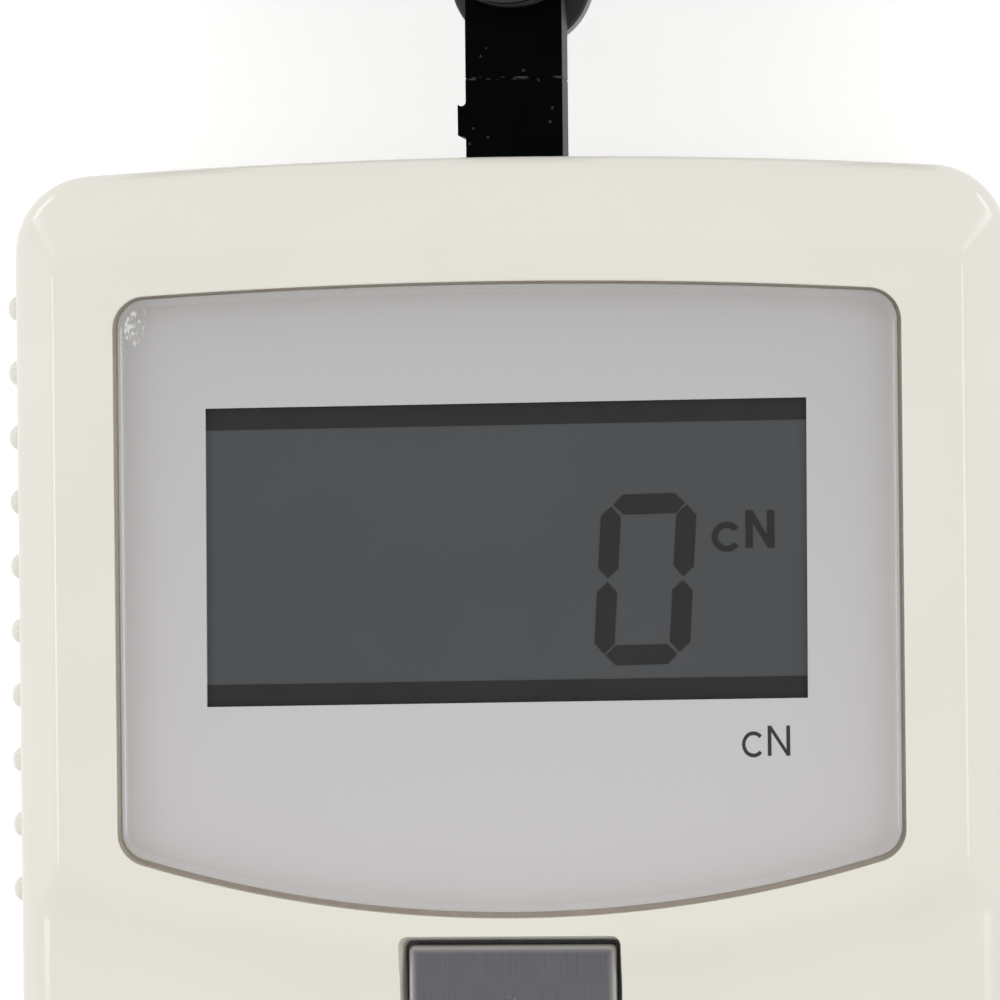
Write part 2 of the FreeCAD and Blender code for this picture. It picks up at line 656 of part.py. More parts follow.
def batteries():
    """Four cells side by side, turned end for end in turn."""
    cells = []
    for i, x in enumerate(cell_xs()):
        way = 1 if i % 2 else -1
        can_y = CELLS_MIDDLE_Y - CELL_LENGTH / 2 - way * CELL_NUB / 2
        can = cylinder_y(x, CELL_Z, can_y, can_y + CELL_LENGTH, CELL_R)
        nub_y = can_y + CELL_LENGTH if way > 0 else can_y - CELL_NUB
        cells.append(can.fuse(cylinder_y(x, CELL_Z, nub_y, nub_y + CELL_NUB, CELL_NUB_R)))
    return Part.makeCompound(cells)


def battery_contacts():
    """Bowed spring leaves, one at each end of each cell."""
    leaves = []
    for x in cell_xs():
        for way in (-1, 1):
            wall_y = CELLS_MIDDLE_Y + way * (TUB_LENGTH - CONTACT_SLIP) / 2
            plate_y = wall_y - way * CONTACT_THICKNESS
            tip_y = CELLS_MIDDLE_Y + way * ((CELL_LENGTH + CELL_NUB) / 2 + CONTACT_SLIP)
            low = CELL_Z - CONTACT_HEIGHT / 2
            high = CELL_Z + CONTACT_HEIGHT / 2
            crease = CELL_Z - CONTACT_BOW
            points = [(wall_y, low), (wall_y, high), (plate_y, high), (plate_y, low + 4 * CONTACT_THICKNESS),
                      (tip_y, crease), (tip_y, crease - CONTACT_THICKNESS), (plate_y, low)]
            corners = [Vector(x - CONTACT_WIDTH / 2, y, z) for y, z in points]
            face = Part.Face(Part.makePolygon(corners + corners[:1]))
            leaves.append(face.extrude(Vector(CONTACT_WIDTH, 0, 0)))
    return Part.makeCompound(leaves)


def display_lens():
    lens = slab(window_wire(LENS_BACK_Z, WINDOW_GAP), LENS_THICKNESS)
    rim = [e for e in lens.Edges if e.BoundBox.ZMin > LENS_FRONT_Z - 0.01]
    lens = lens.makeChamfer(LENS_EDGE, rim)
    lens.translate(Vector(0, LENS_RAISE, 0))
    return lens


def display_panel():
    """Thin printed panel behind the lens, open over the display."""
    panel = slab(window_wire(LEDGE_Z, WINDOW_GAP), PANEL_THICKNESS)
    panel.translate(Vector(0, LENS_RAISE, 0))
    half_w = LCD_WIDTH / 2
    half_h = LCD_HEIGHT / 2
    left, low = LCD_X - half_w, LCD_Y - half_h
    opening = box(left, left + 2 * half_w, low, low + 2 * half_h, LEDGE_Z - 1, LENS_BACK_Z + 1)
    return panel.cut(opening)


def lcd_block(margin, back_z, front_z):
    """A block as large as the display glass, grown by a margin."""
    half_w = LCD_WIDTH / 2 + LCD_BORDER + margin
    half_h = LCD_HEIGHT / 2 + LCD_BORDER + margin
    return box(LCD_X - half_w, LCD_X + half_w, LCD_Y - half_h, LCD_Y + half_h, back_z, front_z)


def lcd_holder():
    """Open tray that carries the backlight and the display glass on the board."""
    floor_z = BACKLIGHT_BACK_Z
    tray = lcd_block(HOLDER_WALL, BOARD_FRONT_Z, LEDGE_Z - SLIP)
    return tray.cut(lcd_block(SLIP, floor_z, LEDGE_Z + 1))


def main_board():
    board = rounded_box(-BOARD_HALF, BOARD_HALF, BOARD_BOTTOM_Y, BOARD_TOP_Y, BOARD_BACK_Z, BOARD_FRONT_Z,
                        BOARD_CORNER_R)
    cuts = []
    for x, y in both_sides(BOSS_PLACES):
        cuts.append(cylinder(x, y, BOARD_BACK_Z - 1, BOARD_FRONT_Z + 1, FRONT_BOSS_R + BOARD_SLIP))
    for x, y in both_sides([(BOARD_POST_X, y) for y in BOARD_POST_YS]):
        cuts.append(cylinder(x, y, BOARD_BACK_Z - 1, BOARD_FRONT_Z + 1, SMALL_SCREW_R + SCREW_SLIP))
    return board.cut(Part.makeCompound(cuts))


def on_board(left_in, right_in, low, high, height):
    """A block on the back of the board: its sides are measured in from the board's left edge."""
    left = left_in - BOARD_HALF
    right = right_in - BOARD_HALF
    return box(left, right, BOARD_BOTTOM_Y + low, BOARD_BOTTOM_Y + high, BOARD_BACK_Z - height, BOARD_BACK_Z)


def board_components():
    """Two chips, a crystal, two sockets and a beeper on the back of the board."""
    beeper_x = BOARD_HALF - BEEPER_IN
    beeper_y = BOARD_BOTTOM_Y + BEEPER_UP
    parts = [on_board(*place) for place in BOARD_PARTS]
    parts.append(cylinder(beeper_x, beeper_y, BOARD_BACK_Z - BEEPER_HEIGHT, BOARD_BACK_Z, BEEPER_R))
    return Part.makeCompound(parts)


def key_mat():
    """Silicone mat with one dome under each key."""
    half = SMALL_KEY_X + SMALL_KEY_WIDTH / 2 + MAT_RIM
    low = SMALL_KEY_LOWER_Y - SMALL_KEY_HEIGHT / 2 - MAT_RIM
    high = POWER_KEY_Y + POWER_KEY / 2 + MAT_RIM
    mat = [rounded_box(-half, half, low, high, BOARD_FRONT_Z, BOARD_FRONT_Z + MAT_THICKNESS, MAT_CORNER_R)]
    base_z = BOARD_FRONT_Z + MAT_THICKNESS
    for _, (x, y), _ in key_places():
        mat.append(Part.makeCone(DOME_BASE_R, DOME_TOP_R, DOME_TOP_Z - base_z, Vector(x, y, base_z)))
    notches = [cylinder(x, y, BOARD_BACK_Z, FACE_Z, FRONT_BOSS_R + BOARD_SLIP)
               for x, y in both_sides(BOSS_PLACES)]
    return joined(mat).cut(Part.makeCompound(notches))


def key(middle, size):
    """One key: a cap with a softened edge, a flange that keeps it in, and a foot."""
    x, y = middle
    half_w = size[0] / 2
    half_h = size[1] / 2
    cap = rounded_box(x - half_w, x + half_w, y - half_h, y + half_h, FLANGE_TOP_Z, KEY_TOP_Z, KEY_CORNER_R)
    rim = [e for e in cap.Edges if e.BoundBox.ZMin > KEY_TOP_Z - 0.01]
    cap = cap.makeChamfer(KEY_EDGE, rim)
    wide = half_w + KEY_FLANGE
    tall = half_h + KEY_FLANGE
    flange = box(x - wide, x + wide, y - tall, y + tall, FLANGE_BACK_Z, FLANGE_TOP_Z)
    return joined([cap, flange, cylinder(x, y, KEY_BACK_Z, FLANGE_BACK_Z, KEY_STEM_R)])


def screw(x, y, seat_z, tip_z, shank_r, head_r, head):
    """A screw along Z; its head is on the far side of its seat from the tip."""
    shank = cylinder(x, y, min(seat_z, tip_z), max(seat_z, tip_z), shank_r)
    head_z = seat_z - head if tip_z > seat_z else seat_z
    return shank.fuse(cylinder(x, y, head_z, head_z + head, head_r))


def housing_screws():
    tip = BOSS_SEAT_Z + BOSS_SCREW_LENGTH
    places = both_sides(BOSS_PLACES)
    screws = [screw(x, y, BOSS_SEAT_Z, tip, SCREW_R, SCREW_HEAD_R, SCREW_HEAD) for x, y in places]
    return Part.makeCompound(screws)


def board_screws():
    places = both_sides([(BOARD_POST_X, y) for y in BOARD_POST_YS])
    tip = ROOF_Z - 0.5
    return Part.makeCompound([screw(x, y, BOARD_BACK_Z, tip, SMALL_SCREW_R, SMALL_HEAD_R, SMALL_HEAD)
                              for x, y in places])


def chassis_plate():
    plate = rounded_box(CHASSIS_LEFT_X, CHASSIS_RIGHT_X, CHASSIS_BOTTOM_Y, CHASSIS_TOP_Y, CHASSIS_Z,
                        CHASSIS_TOP_Z, CHASSIS_CORNER_R)
    cuts = [cylinder(x, y, 0, FACE_Z, SCREW_R + SCREW_SLIP) for x, y in CHASSIS_SCREWS + block_screw_places()]
    cuts += [cylinder(x, y, 0, FACE_Z, BOSS_R + 1.0) for x, y in both_sides(BOSS_PLACES)]
    return plate.cut(Part.makeCompound(cuts))


def chassis_screws():
    tip = FLOOR + 1.0
    return Part.makeCompound([screw(x, y, CHASSIS_TOP_Z, tip, SCREW_R, SCREW_HEAD_R, SCREW_HEAD)
                              for x, y in CHASSIS_SCREWS])


def block_screw_places():
    """Screws from below into the guide block and the mounting block."""
    low = GUIDE_BOTTOM_Y + BLOCK_SCREW_EDGE
    high = GUIDE_TOP_Y - BLOCK_SCREW_EDGE
    guide = both_sides([(SPRING_X, low), (SPRING_X, high)])
    middle_x = LOAD_CELL_LEFT_X + MOUNT_BLOCK_LENGTH / 2
    mount = [(middle_x, LOAD_CELL_Y + BLOCK_SCREW_EDGE), (middle_x, LOAD_CELL_TOP_Y - BLOCK_SCREW_EDGE)]
    return guide + mount


def block_screws():
    tip = LINER_BACK_Z - 1.0
    return Part.makeCompound([screw(x, y, CHASSIS_Z, tip, SCREW_R, SCREW_HEAD_R, SCREW_HEAD)
                              for x, y in block_screw_places()])


def load_cell_screw_places():
    middle_x = LOAD_CELL_LEFT_X + MOUNT_BLOCK_LENGTH / 2
    return [(middle_x + side * CLAMP_SCREW_PITCH / 2, LOAD_CELL_MIDDLE_Y) for side in (-1, 1)]


def mounting_block():
    right = LOAD_CELL_LEFT_X + MOUNT_BLOCK_LENGTH
    block = box(LOAD_CELL_LEFT_X, right, LOAD_CELL_Y, LOAD_CELL_TOP_Y, CHASSIS_TOP_Z, ARM_BACK_Z)
    hole_z = ARM_FRONT_Z - CLAMP_SCREW_LENGTH - 1
    cuts = [cylinder(x, y, hole_z, ARM_BACK_Z, SCREW_R + SCREW_SLIP) for x, y in load_cell_screw_places()]
    cuts += [cylinder(x, y, 0, LINER_BACK_Z, SCREW_R + SCREW_SLIP) for x, y in block_screw_places()]
    return block.cut(Part.makeCompound(cuts))


def load_cell():
    """Bending beam: clamped at its left end, pulled by the arm at its right end."""
    bar = box(LOAD_CELL_LEFT_X, LOAD_CELL_RIGHT_X, LOAD_CELL_Y, LOAD_CELL_TOP_Y, ARM_BACK_Z, ARM_FRONT_Z)
    cuts = [cylinder(x, LOAD_CELL_MIDDLE_Y, 0, FACE_Z, LOAD_CELL_HOLE_R) for x in LOAD_CELL_HOLE_XS]
    half = LOAD_CELL_SLOT / 2
    cuts.append(box(LOAD_CELL_HOLE_XS[0], LOAD_CELL_HOLE_XS[1], LOAD_CELL_MIDDLE_Y - half,
                    LOAD_CELL_MIDDLE_Y + half, 0, FACE_Z))
    cuts += [cylinder(x, y, 0, FACE_Z, SCREW_R + SCREW_SLIP) for x, y in load_cell_screw_places()]
    cuts.append(cylinder_y(0, ARM_MIDDLE_Z, 0, TOP_Y, SCREW_R + SCREW_SLIP))
    return bar.cut(Part.makeCompound(cuts))


def strain_gauges():
    half = GAUGE_LENGTH / 2
    low = ARM_MIDDLE_Z - GAUGE_WIDTH / 2
    high = ARM_MIDDLE_Z + GAUGE_WIDTH / 2
    films = []
    for x in LOAD_CELL_HOLE_XS:
        films.append(box(x - half, x + half, LOAD_CELL_TOP_Y, LOAD_CELL_TOP_Y + GAUGE_THICKNESS, low, high))
        films.append(box(x - half, x + half, LOAD_CELL_Y - GAUGE_THICKNESS, LOAD_CELL_Y, low, high))
    return Part.makeCompound(films)


def load_cell_screws():
    tip = ARM_FRONT_Z - CLAMP_SCREW_LENGTH
    return Part.makeCompound([screw(x, y, ARM_FRONT_Z, tip, SCREW_R, SCREW_HEAD_R, SMALL_HEAD)
                              for x, y in load_cell_screw_places()])


def guide_block():
    block = box(-GUIDE_HALF, GUIDE_HALF, GUIDE_BOTTOM_Y, GUIDE_TOP_Y, CHASSIS_TOP_Z, GUIDE_FRONT_Z)
    cuts = [box(-LINER_HALF, LINER_HALF, GUIDE_BOTTOM_Y, GUIDE_TOP_Y, LINER_BACK_Z, LINER_FRONT_Z)]
    for side in (-1, 1):
        x = side * SPRING_X
        cuts.append(cylinder_y(x, CARRIAGE_MIDDLE_Z, GUIDE_BOTTOM_Y, GUIDE_TOP_Y, ROD_R + ROD_SLIP))
    cuts += [cylinder(x, y, 0, LINER_BACK_Z, SCREW_R + SCREW_SLIP) for x, y in block_screw_places()]
    return block.cut(Part.makeCompound(cuts))


def guide_liner():
    """Low-friction sleeve between the guide block and the carriage stem."""
    sleeve = box(-LINER_HALF, LINER_HALF, GUIDE_BOTTOM_Y, GUIDE_TOP_Y, LINER_BACK_Z, LINER_FRONT_Z)
    inner = LINER_HALF - LINER_WALL
    return sleeve.cut(box(-inner, inner, GUIDE_BOTTOM_Y, GUIDE_TOP_Y, LINER_BACK_Z + LINER_WALL,
                          LINER_FRONT_Z - LINER_WALL))


def slope_under(point, centre, radius):
    """Slope in degrees of the line from a point that touches the underside of a circle."""
    dx = centre[0] - point[0]
    dy = centre[1] - point[1]
    return math.degrees(math.atan2(dy, dx) - math.asin(radius / math.hypot(dx, dy)))


def carriage_wire():
    """Plan outline of the carriage: foot, stem, round hub and the two raised bars."""
    hub = (0, TOP_Y + HUB_ABOVE_TOP)
    end = (OUTER_ROLLER_X, OUTER_ROLLER_Y)
    stem_angle = -math.degrees(math.acos(STEM_HALF / HUB_R))
    neck = polar(hub, HUB_R, stem_angle)
    root = polar(hub, HUB_R, BAR_ROOT_ANGLE)
    slope = slope_under(root, end, BAR_END_R)
    upper = polar(end, BAR_END_R, 90 + slope)
    valley_y = upper[1] - upper[0] * math.tan(math.radians(slope))
    valley = (0, valley_y + BAR_VALLEY_R / math.cos(math.radians(slope)))
    dip = bow(valley, BAR_VALLEY_R, -90 - slope, -90 + slope)
    right = [
        [(0, STEM_BOTTOM_Y), (FOOT_HALF, STEM_BOTTOM_Y)],
        [(FOOT_HALF, STEM_BOTTOM_Y), (FOOT_HALF, FOOT_TOP_Y)],
        [(FOOT_HALF, FOOT_TOP_Y), (STEM_HALF, FOOT_TOP_Y)],
        [(STEM_HALF, FOOT_TOP_Y), neck],
        bow(hub, HUB_R, stem_angle, BAR_ROOT_ANGLE),
        [root, polar(end, BAR_END_R, slope - 90)],
        bow(end, BAR_END_R, slope - 90, 90 + slope),
        [upper, dip[2]],
    ]
    return wire_of(right + [dip[::-1]] + mirrored(right), CARRIAGE_BACK_Z)


def carriage_plate():
    plate = slab(carriage_wire(), CARRIAGE_THICKNESS)
    cuts = [cylinder(x, OUTER_ROLLER_Y, 0, FACE_Z, AXLE_R) for x in (-OUTER_ROLLER_X, OUTER_ROLLER_X)]
    cuts += [cylinder(x, y, 0, FACE_Z, SMALL_SCREW_R + SCREW_SLIP) for x, y in link_screw_places()]
    for side in (-1, 1):
        cuts.append(cylinder_y(side * SPRING_X, CARRIAGE_MIDDLE_Z, FOOT_TOP_Y - ROD_SUNK, FOOT_TOP_Y, ROD_R))
    return plate.cut(Part.makeCompound(cuts))


def spring_rods():
    """Two rods in the carriage foot that keep the return springs straight."""
    end_y = GUIDE_BOTTOM_Y + ROD_REACH
    start_y = FOOT_TOP_Y - ROD_SUNK
    rods = [cylinder_y(side * SPRING_X, CARRIAGE_MIDDLE_Z, start_y, end_y, ROD_R) for side in (-1, 1)]
    return Part.makeCompound(rods)


def spring(x, start_y, length):
    """A coil along Y: square wire sections, lofted straight from one to the next."""
    count = SPRING_TURNS * SPRING_STEPS
    half = SPRING_WIRE_R
    sections = []
    for step in range(count + 1):
        turn = 360 * step / SPRING_STEPS
        y = start_y + length * step / count
        inner = polar((x, CARRIAGE_MIDDLE_Z), SPRING_R - half, turn)
        outer = polar((x, CARRIAGE_MIDDLE_Z), SPRING_R + half, turn)
        corners = [(inner, -half), (outer, -half), (outer, half), (inner, half)]
        places = [Vector(p[0], y + rise, p[1]) for p, rise in corners]
        sections.append(Part.makePolygon(places + places[:1]))
    return Part.makeLoft(sections, True, True)


def return_springs():
    """Two compression springs between the carriage foot and the guide block."""
    start_y = FOOT_TOP_Y + SPRING_END_GAP + SPRING_WIRE_R
    length = GUIDE_BOTTOM_Y - FOOT_TOP_Y - 2 * (SPRING_END_GAP + SPRING_WIRE_R)
    return Part.makeCompound([spring(side * SPRING_X, start_y, length) for side in (-1, 1)])


def link_screw_places():
    middle_y = STEM_BOTTOM_Y + FOOT_HEIGHT / 2
    return [(LINK_SCREW_X - LINK_SCREW_PITCH / 2, middle_y), (LINK_SCREW_X + LINK_SCREW_PITCH / 2, middle_y)]


def slide_link():
    """Bent strap from the carriage foot round to the thumb slider."""
    right = LINK_X + LINK_WIDTH
    cross = rounded_box(LINK_LEFT_X, right, STEM_BOTTOM_Y, FOOT_TOP_Y, LINK_BACK_Z, LINK_FRONT_Z,
                        LINK_CORNER_R)
    long_leg = rounded_box(LINK_X, right, LINK_BOTTOM_Y, FOOT_TOP_Y, LINK_BACK_Z, LINK_FRONT_Z, LINK_CORNER_R)
    cuts = [cylinder(x, y, 0, FACE_Z, SMALL_SCREW_R + SCREW_SLIP) for x, y in link_screw_places()]
    return joined([cross, long_leg]).cut(Part.makeCompound(cuts))


def link_screws():
    tip = CARRIAGE_FRONT_Z - 0.3
    return Part.makeCompound([screw(x, y, LINK_BACK_Z, tip, SMALL_SCREW_R, SMALL_HEAD_R, SMALL_HEAD)
                              for x, y in link_screw_places()])


def thumb_slider():
    """Ribbed thumb pad outside the right wall, with the neck that reaches the strap."""
    pad_x = HOUSING_HALF + SLIDER_GAP
    top_y = SLIDER_BOTTOM_Y + SLIDER_LENGTH
    low = SLIDER_MIDDLE_Z - SLIDER_HEIGHT / 2
    high = SLIDER_MIDDLE_Z + SLIDER_HEIGHT / 2
    outer_x = pad_x + SLIDER_PROUD
    pad = box(pad_x, outer_x, SLIDER_BOTTOM_Y, top_y, low, high)
    pad = pad.makeFillet(SLIDER_EDGE_R, [e for e in pad.Edges if e.BoundBox.XMax > pad_x + 0.01])
    middle_y = SLIDER_BOTTOM_Y + SLIDER_LENGTH / 2
    grooves = []
    for row in range(SLIDER_RIBS):
        y = middle_y + (row - (SLIDER_RIBS - 1) / 2) * SLIDER_RIB_PITCH
        x = outer_x + SLIDER_GROOVE_R - SLIDER_GROOVE_DEPTH
        grooves.append(cylinder(x, y, low, high, SLIDER_GROOVE_R))
    pad = pad.cut(Part.makeCompound(grooves))
    neck_y = NECK_BOTTOM_Y + SLIDER_NECK_LENGTH
    neck_low = SLIDER_MIDDLE_Z - SLIDER_NECK_HEIGHT / 2
    neck_high = SLIDER_MIDDLE_Z + SLIDER_NECK_HEIGHT / 2
    neck = box(LINK_X, pad_x, NECK_BOTTOM_Y, neck_y, neck_low, neck_high)
    foot = box(LINK_X, LINK_X + LINK_WIDTH, NECK_BOTTOM_Y, neck_y, LINK_FRONT_Z, neck_low)
    return joined([pad, neck, foot])


def arm_base():
    """Lower block of the measuring arm, with its small stop lug on the left."""
    block = box(-ARM_HALF, ARM_HALF, LOAD_CELL_TOP_Y, ARM_SEAM_Y, ARM_BACK_Z, ARM_FRONT_Z)
    low = TOP_Y + LUG_ABOVE_TOP
    high = low + LUG_HEIGHT
    tip = -ARM_HALF - LUG_REACH
    scoop = (tip, high)
    outline = [
        [(-ARM_HALF, low), (-ARM_HALF, high)],
        bow(scoop, LUG_REACH, 0, -90),
        [(tip, high - LUG_REACH), (tip, low + LUG_REACH)],
        [(tip, low + LUG_REACH), (-ARM_HALF, low)],
    ]
    lug = slab(wire_of(outline, ARM_BACK_Z), ARM_DEPTH)
    cuts = [cylinder_y(0, ARM_MIDDLE_Z, 0, LOAD_CELL_TOP_Y + ARM_SCREW_DEPTH + 0.5, SCREW_R + SCREW_SLIP)]
    cuts += dowel_holes(DOWEL_SLIP)
    return block.fuse(lug).cut(Part.makeCompound(cuts)).removeSplitter()


def dowel_holes(slip):
    low = ARM_SEAM_Y - DOWEL_LENGTH / 2 - slip
    high = ARM_SEAM_Y + DOWEL_LENGTH / 2 + slip
    return [cylinder_y(side * DOWEL_X, ARM_MIDDLE_Z, low, high, DOWEL_R + slip) for side in (-1, 1)]


def roller_arm():
    """Upper block of the measuring arm, rounded about the axle of the centre roller."""
    block = box(-ARM_HALF, ARM_HALF, ARM_SEAM_Y, ROLLER_Y, ARM_BACK_Z, ARM_FRONT_Z)
    block = block.fuse(cylinder(0, ROLLER_Y, ARM_BACK_Z, ARM_FRONT_Z, ARM_HALF)).removeSplitter()
    cuts = dowel_holes(DOWEL_SLIP) + [cylinder(0, ROLLER_Y, ARM_BACK_Z, ARM_FRONT_Z, AXLE_R)]
    return block.cut(Part.makeCompound(cuts))


def arm_screw():
    """Screw that pulls the arm down onto the free end of the load cell."""
    shank = cylinder_y(0, ARM_MIDDLE_Z, LOAD_CELL_Y, LOAD_CELL_TOP_Y + ARM_SCREW_DEPTH, SCREW_R)
    head = cylinder_y(0, ARM_MIDDLE_Z, LOAD_CELL_Y - SCREW_HEAD, LOAD_CELL_Y, SCREW_HEAD_R)
    return shank.fuse(head)


def roller(x, y):
    """Grooved roller: two bevelled rims and a round-bottomed vee, bored for its bearings."""
    back = ROLLER_BACK_Z
    front = ROLLER_FRONT_Z
    middle = (back + front) / 2
    bevel = ROLLER_RIM_BEVEL
    depth = (ROLLER_R - ROLLER_GROOVE_R) * 0.85
    points = [
        (BEARING_R, back), (ROLLER_R - bevel, back), (ROLLER_R, back + bevel),
        (ROLLER_R, back + ROLLER_RIM), (ROLLER_R - depth, middle - ROLLER_RIM),
        (ROLLER_R - depth, middle + ROLLER_RIM), (ROLLER_R, front - ROLLER_RIM),
        (ROLLER_R, front - bevel), (ROLLER_R - bevel, front), (BEARING_R, front),
    ]
    places = [Vector(x + r, y, z) for r, z in points]
    floor = Part.Arc(places[4], Vector(x + ROLLER_GROOVE_R, y, middle), places[5]).toShape()
    edges = [Part.makeLine(a, b) for a, b in zip(places, places[1:] + places[:1])]
    edges[4] = floor
    section = Part.Face(Part.Wire(edges))
    return section.revolve(Vector(x, y, 0), Vector(0, 0, 1), 360)


def outer_ring(x, y):
    return ring(x, y, BEARING_BACK_Z, BEARING_FRONT_Z, BEARING_R, BEARING_R - RING_WALL)


def inner_ring(x, y):
    return ring(x, y, BEARING_BACK_Z, BEARING_FRONT_Z, AXLE_R + RING_WALL, AXLE_R)


def axle_screw(x, y, tip_z):
    """Shoulder screw through the bearing, with a hexagon socket in its head."""
    shoulder = cylinder(x, y, tip_z, BEARING_FRONT_Z, AXLE_R)
    head = cylinder(x, y, BEARING_FRONT_Z, BEARING_FRONT_Z + AXLE_HEAD, AXLE_HEAD_R)
    socket_z = BEARING_FRONT_Z + AXLE_HEAD / 2
    corners = [Vector(*polar((x, y), AXLE_HEX, 60 * i), socket_z) for i in range(6)]
    socket = slab(Part.makePolygon(corners + corners[:1]), AXLE_HEAD)
    return joined([shoulder, head]).cut(socket)


def centre_spacer():
    """Washer on the axle that holds the centre bearings off the arm."""
    return ring(0, ROLLER_Y, ARM_FRONT_Z, BEARING_BACK_Z, AXLE_SPACER_R, AXLE_R)


def post(x):
    """Standing sleeve that brings an outer roller level with the centre roller."""
    neck_z = ROLLER_BACK_Z - POST_NECK
    body = cylinder(x, OUTER_ROLLER_Y, CARRIAGE_FRONT_Z, neck_z, POST_R)
    neck = cylinder(x, OUTER_ROLLER_Y, neck_z, BEARING_BACK_Z, AXLE_SPACER_R)
    return joined([body, neck]).cut(cylinder(x, OUTER_ROLLER_Y, 0, FACE_Z, AXLE_R))


def arm_dowels():
    return Part.makeCompound(dowel_holes(0.0))


def save(name, shape):
    shape.exportStep("parts/" + name + ".step")


def build():
    os.makedirs("parts", exist_ok=True)
    save("front_cover", front_cover())
    save("rear_cover", rear_cover())
    save("battery_cover", battery_cover())
    save("batteries", batteries())
    save("battery_contacts", battery_contacts())
    save("display_lens", display_lens())
    save("display_panel", display_panel())
    save("lcd_glass", lcd_block(0.0, LCD_BACK_Z, LEDGE_Z))
    save("backlight", lcd_block(0.0, BACKLIGHT_BACK_Z, LCD_BACK_Z))
    save("lcd_holder", lcd_holder())
    save("main_board", main_board())
    save("board_components", board_components())
    save("key_mat", key_mat())
    for name, middle, size in key_places():
        save(name, key(middle, size))
    save("housing_screws", housing_screws())
    save("board_screws", board_screws())
    save("chassis_plate", chassis_plate())
    save("chassis_screws", chassis_screws())
    save("block_screws", block_screws())
    save("mounting_block", mounting_block())
    save("load_cell", load_cell())
    save("strain_gauges", strain_gauges())
    save("load_cell_screws", load_cell_screws())
    save("guide_block", guide_block())
    save("guide_liner", guide_liner())
    save("carriage_plate", carriage_plate())
    save("spring_rods", spring_rods())
    save("return_springs", return_springs())
    save("slide_link", slide_link())
    save("link_screws", link_screws())
    save("thumb_slider", thumb_slider())
    save("arm_base", arm_base())
    save("roller_arm", roller_arm())
    save("arm_dowels", arm_dowels())
    save("arm_screw", arm_screw())
    save("centre_spacer", centre_spacer())
    roller_places = [
        ("left", -OUTER_ROLLER_X, OUTER_ROLLER_Y, CARRIAGE_BACK_Z),
        ("centre", 0.0, ROLLER_Y, ARM_BACK_Z),
        ("right", OUTER_ROLLER_X, OUTER_ROLLER_Y, CARRIAGE_BACK_Z),
    ]
    for name, x, y, tip_z in roller_places:
        save(name + "_roller", roller(x, y))
        save(name + "_outer_ring", outer_ring(x, y))
        save(name + "_inner_ring", inner_ring(x, y))
        save(name + "_axle_screw", axle_screw(x, y, tip_z))
    save("left_post", post(-OUTER_ROLLER_X))
    save("right_post", post(OUTER_ROLLER_X))


build()
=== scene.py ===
import json
import math

import bmesh
import bpy
from mathutils import Matrix, Vector


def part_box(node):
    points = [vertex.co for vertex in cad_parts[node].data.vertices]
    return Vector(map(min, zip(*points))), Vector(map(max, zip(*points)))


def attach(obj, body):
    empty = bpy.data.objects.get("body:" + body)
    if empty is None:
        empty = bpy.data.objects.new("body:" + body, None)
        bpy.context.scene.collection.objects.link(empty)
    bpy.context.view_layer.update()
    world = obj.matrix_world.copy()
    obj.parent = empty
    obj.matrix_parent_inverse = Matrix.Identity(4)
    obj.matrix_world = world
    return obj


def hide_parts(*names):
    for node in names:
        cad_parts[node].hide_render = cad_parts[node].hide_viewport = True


# A handheld cable tension meter that lies on its back. The pieces are modelled in
# millimetres and brought to metres as each one is finished. +Z is the normal of the
# display face, +Y points to the measuring head.

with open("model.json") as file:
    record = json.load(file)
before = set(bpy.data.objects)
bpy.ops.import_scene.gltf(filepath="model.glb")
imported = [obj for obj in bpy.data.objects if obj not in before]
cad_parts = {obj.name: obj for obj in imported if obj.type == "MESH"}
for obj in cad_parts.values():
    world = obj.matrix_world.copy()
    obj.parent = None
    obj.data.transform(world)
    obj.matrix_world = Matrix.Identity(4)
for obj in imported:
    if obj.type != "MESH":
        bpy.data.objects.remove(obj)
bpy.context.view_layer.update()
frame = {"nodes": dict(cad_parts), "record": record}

MM = 0.001
MERGE = 0.0005


def span(node):
    """Lowest and highest corner of a CAD node in millimetres."""
    low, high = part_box(node)
    return low / MM, high / MM


def middle_of(node):
    """Middle of a CAD node's box in millimetres."""
    low, high = span(node)
    return (low + high) / 2


# Levels and places read from the frame
FACE_Z = span("front_cover")[1].z
PARTING_Z = middle_of("thumb_slider").z
TOP_Y = span("rear_cover")[1].y
LENS_BACK_Z, LENS_FRONT_Z = span("display_lens")[0].z, span("display_lens")[1].z
PANEL_BACK_Z = span("display_panel")[0].z
BOARD_FRONT_Z = span("main_board")[1].z

# Housing outline and section
BUMP_HEIGHT = 1.1
HOUSING_HALF = span("front_cover")[1].x - BUMP_HEIGHT
HANDLE_HALF = 31.0
SHOULDER_DEPTH = 3.85
SIDE_BEVEL = 3.8
TOP_BEVEL = 6.8
BOTTOM_BEVEL = 5.5
TOP_ARC_R = 560.0
BOTTOM_ARC_R = 80.0
TOP_CORNER_R = 6.6
RIDGE_CORNER_R = 2.0
HANDLE_CORNER_R = 14.0
WAIST_TOP_Y = 4.0
WAIST_LENGTH = 45.0
BACK_EDGE_R = 3.0
WALL = 2.2
FLOOR = 2.4
ROOF = 3.8
SHADOW_GAP = 0.4
RIDGE_BLEND = 0.35
KEYPAD_BLEND = 1.0
SHOULDER_BLEND = 1.0

# Display window and the soft step below it
WINDOW_Y = TOP_Y - 37.6
WINDOW_GAP = 0.38
WINDOW_HALF = span("display_lens")[1].x + WINDOW_GAP
WINDOW_UP = 26.9
WINDOW_DOWN = 26.84
LENS_RAISE = 0.12
WINDOW_TOP_R = 510.0
WINDOW_BOTTOM_R = 108.0
WINDOW_CORNER_R = 2.8
STEP_RIM = 2.3
STEP_RUN = 4.5
STEP_DROP = 1.4
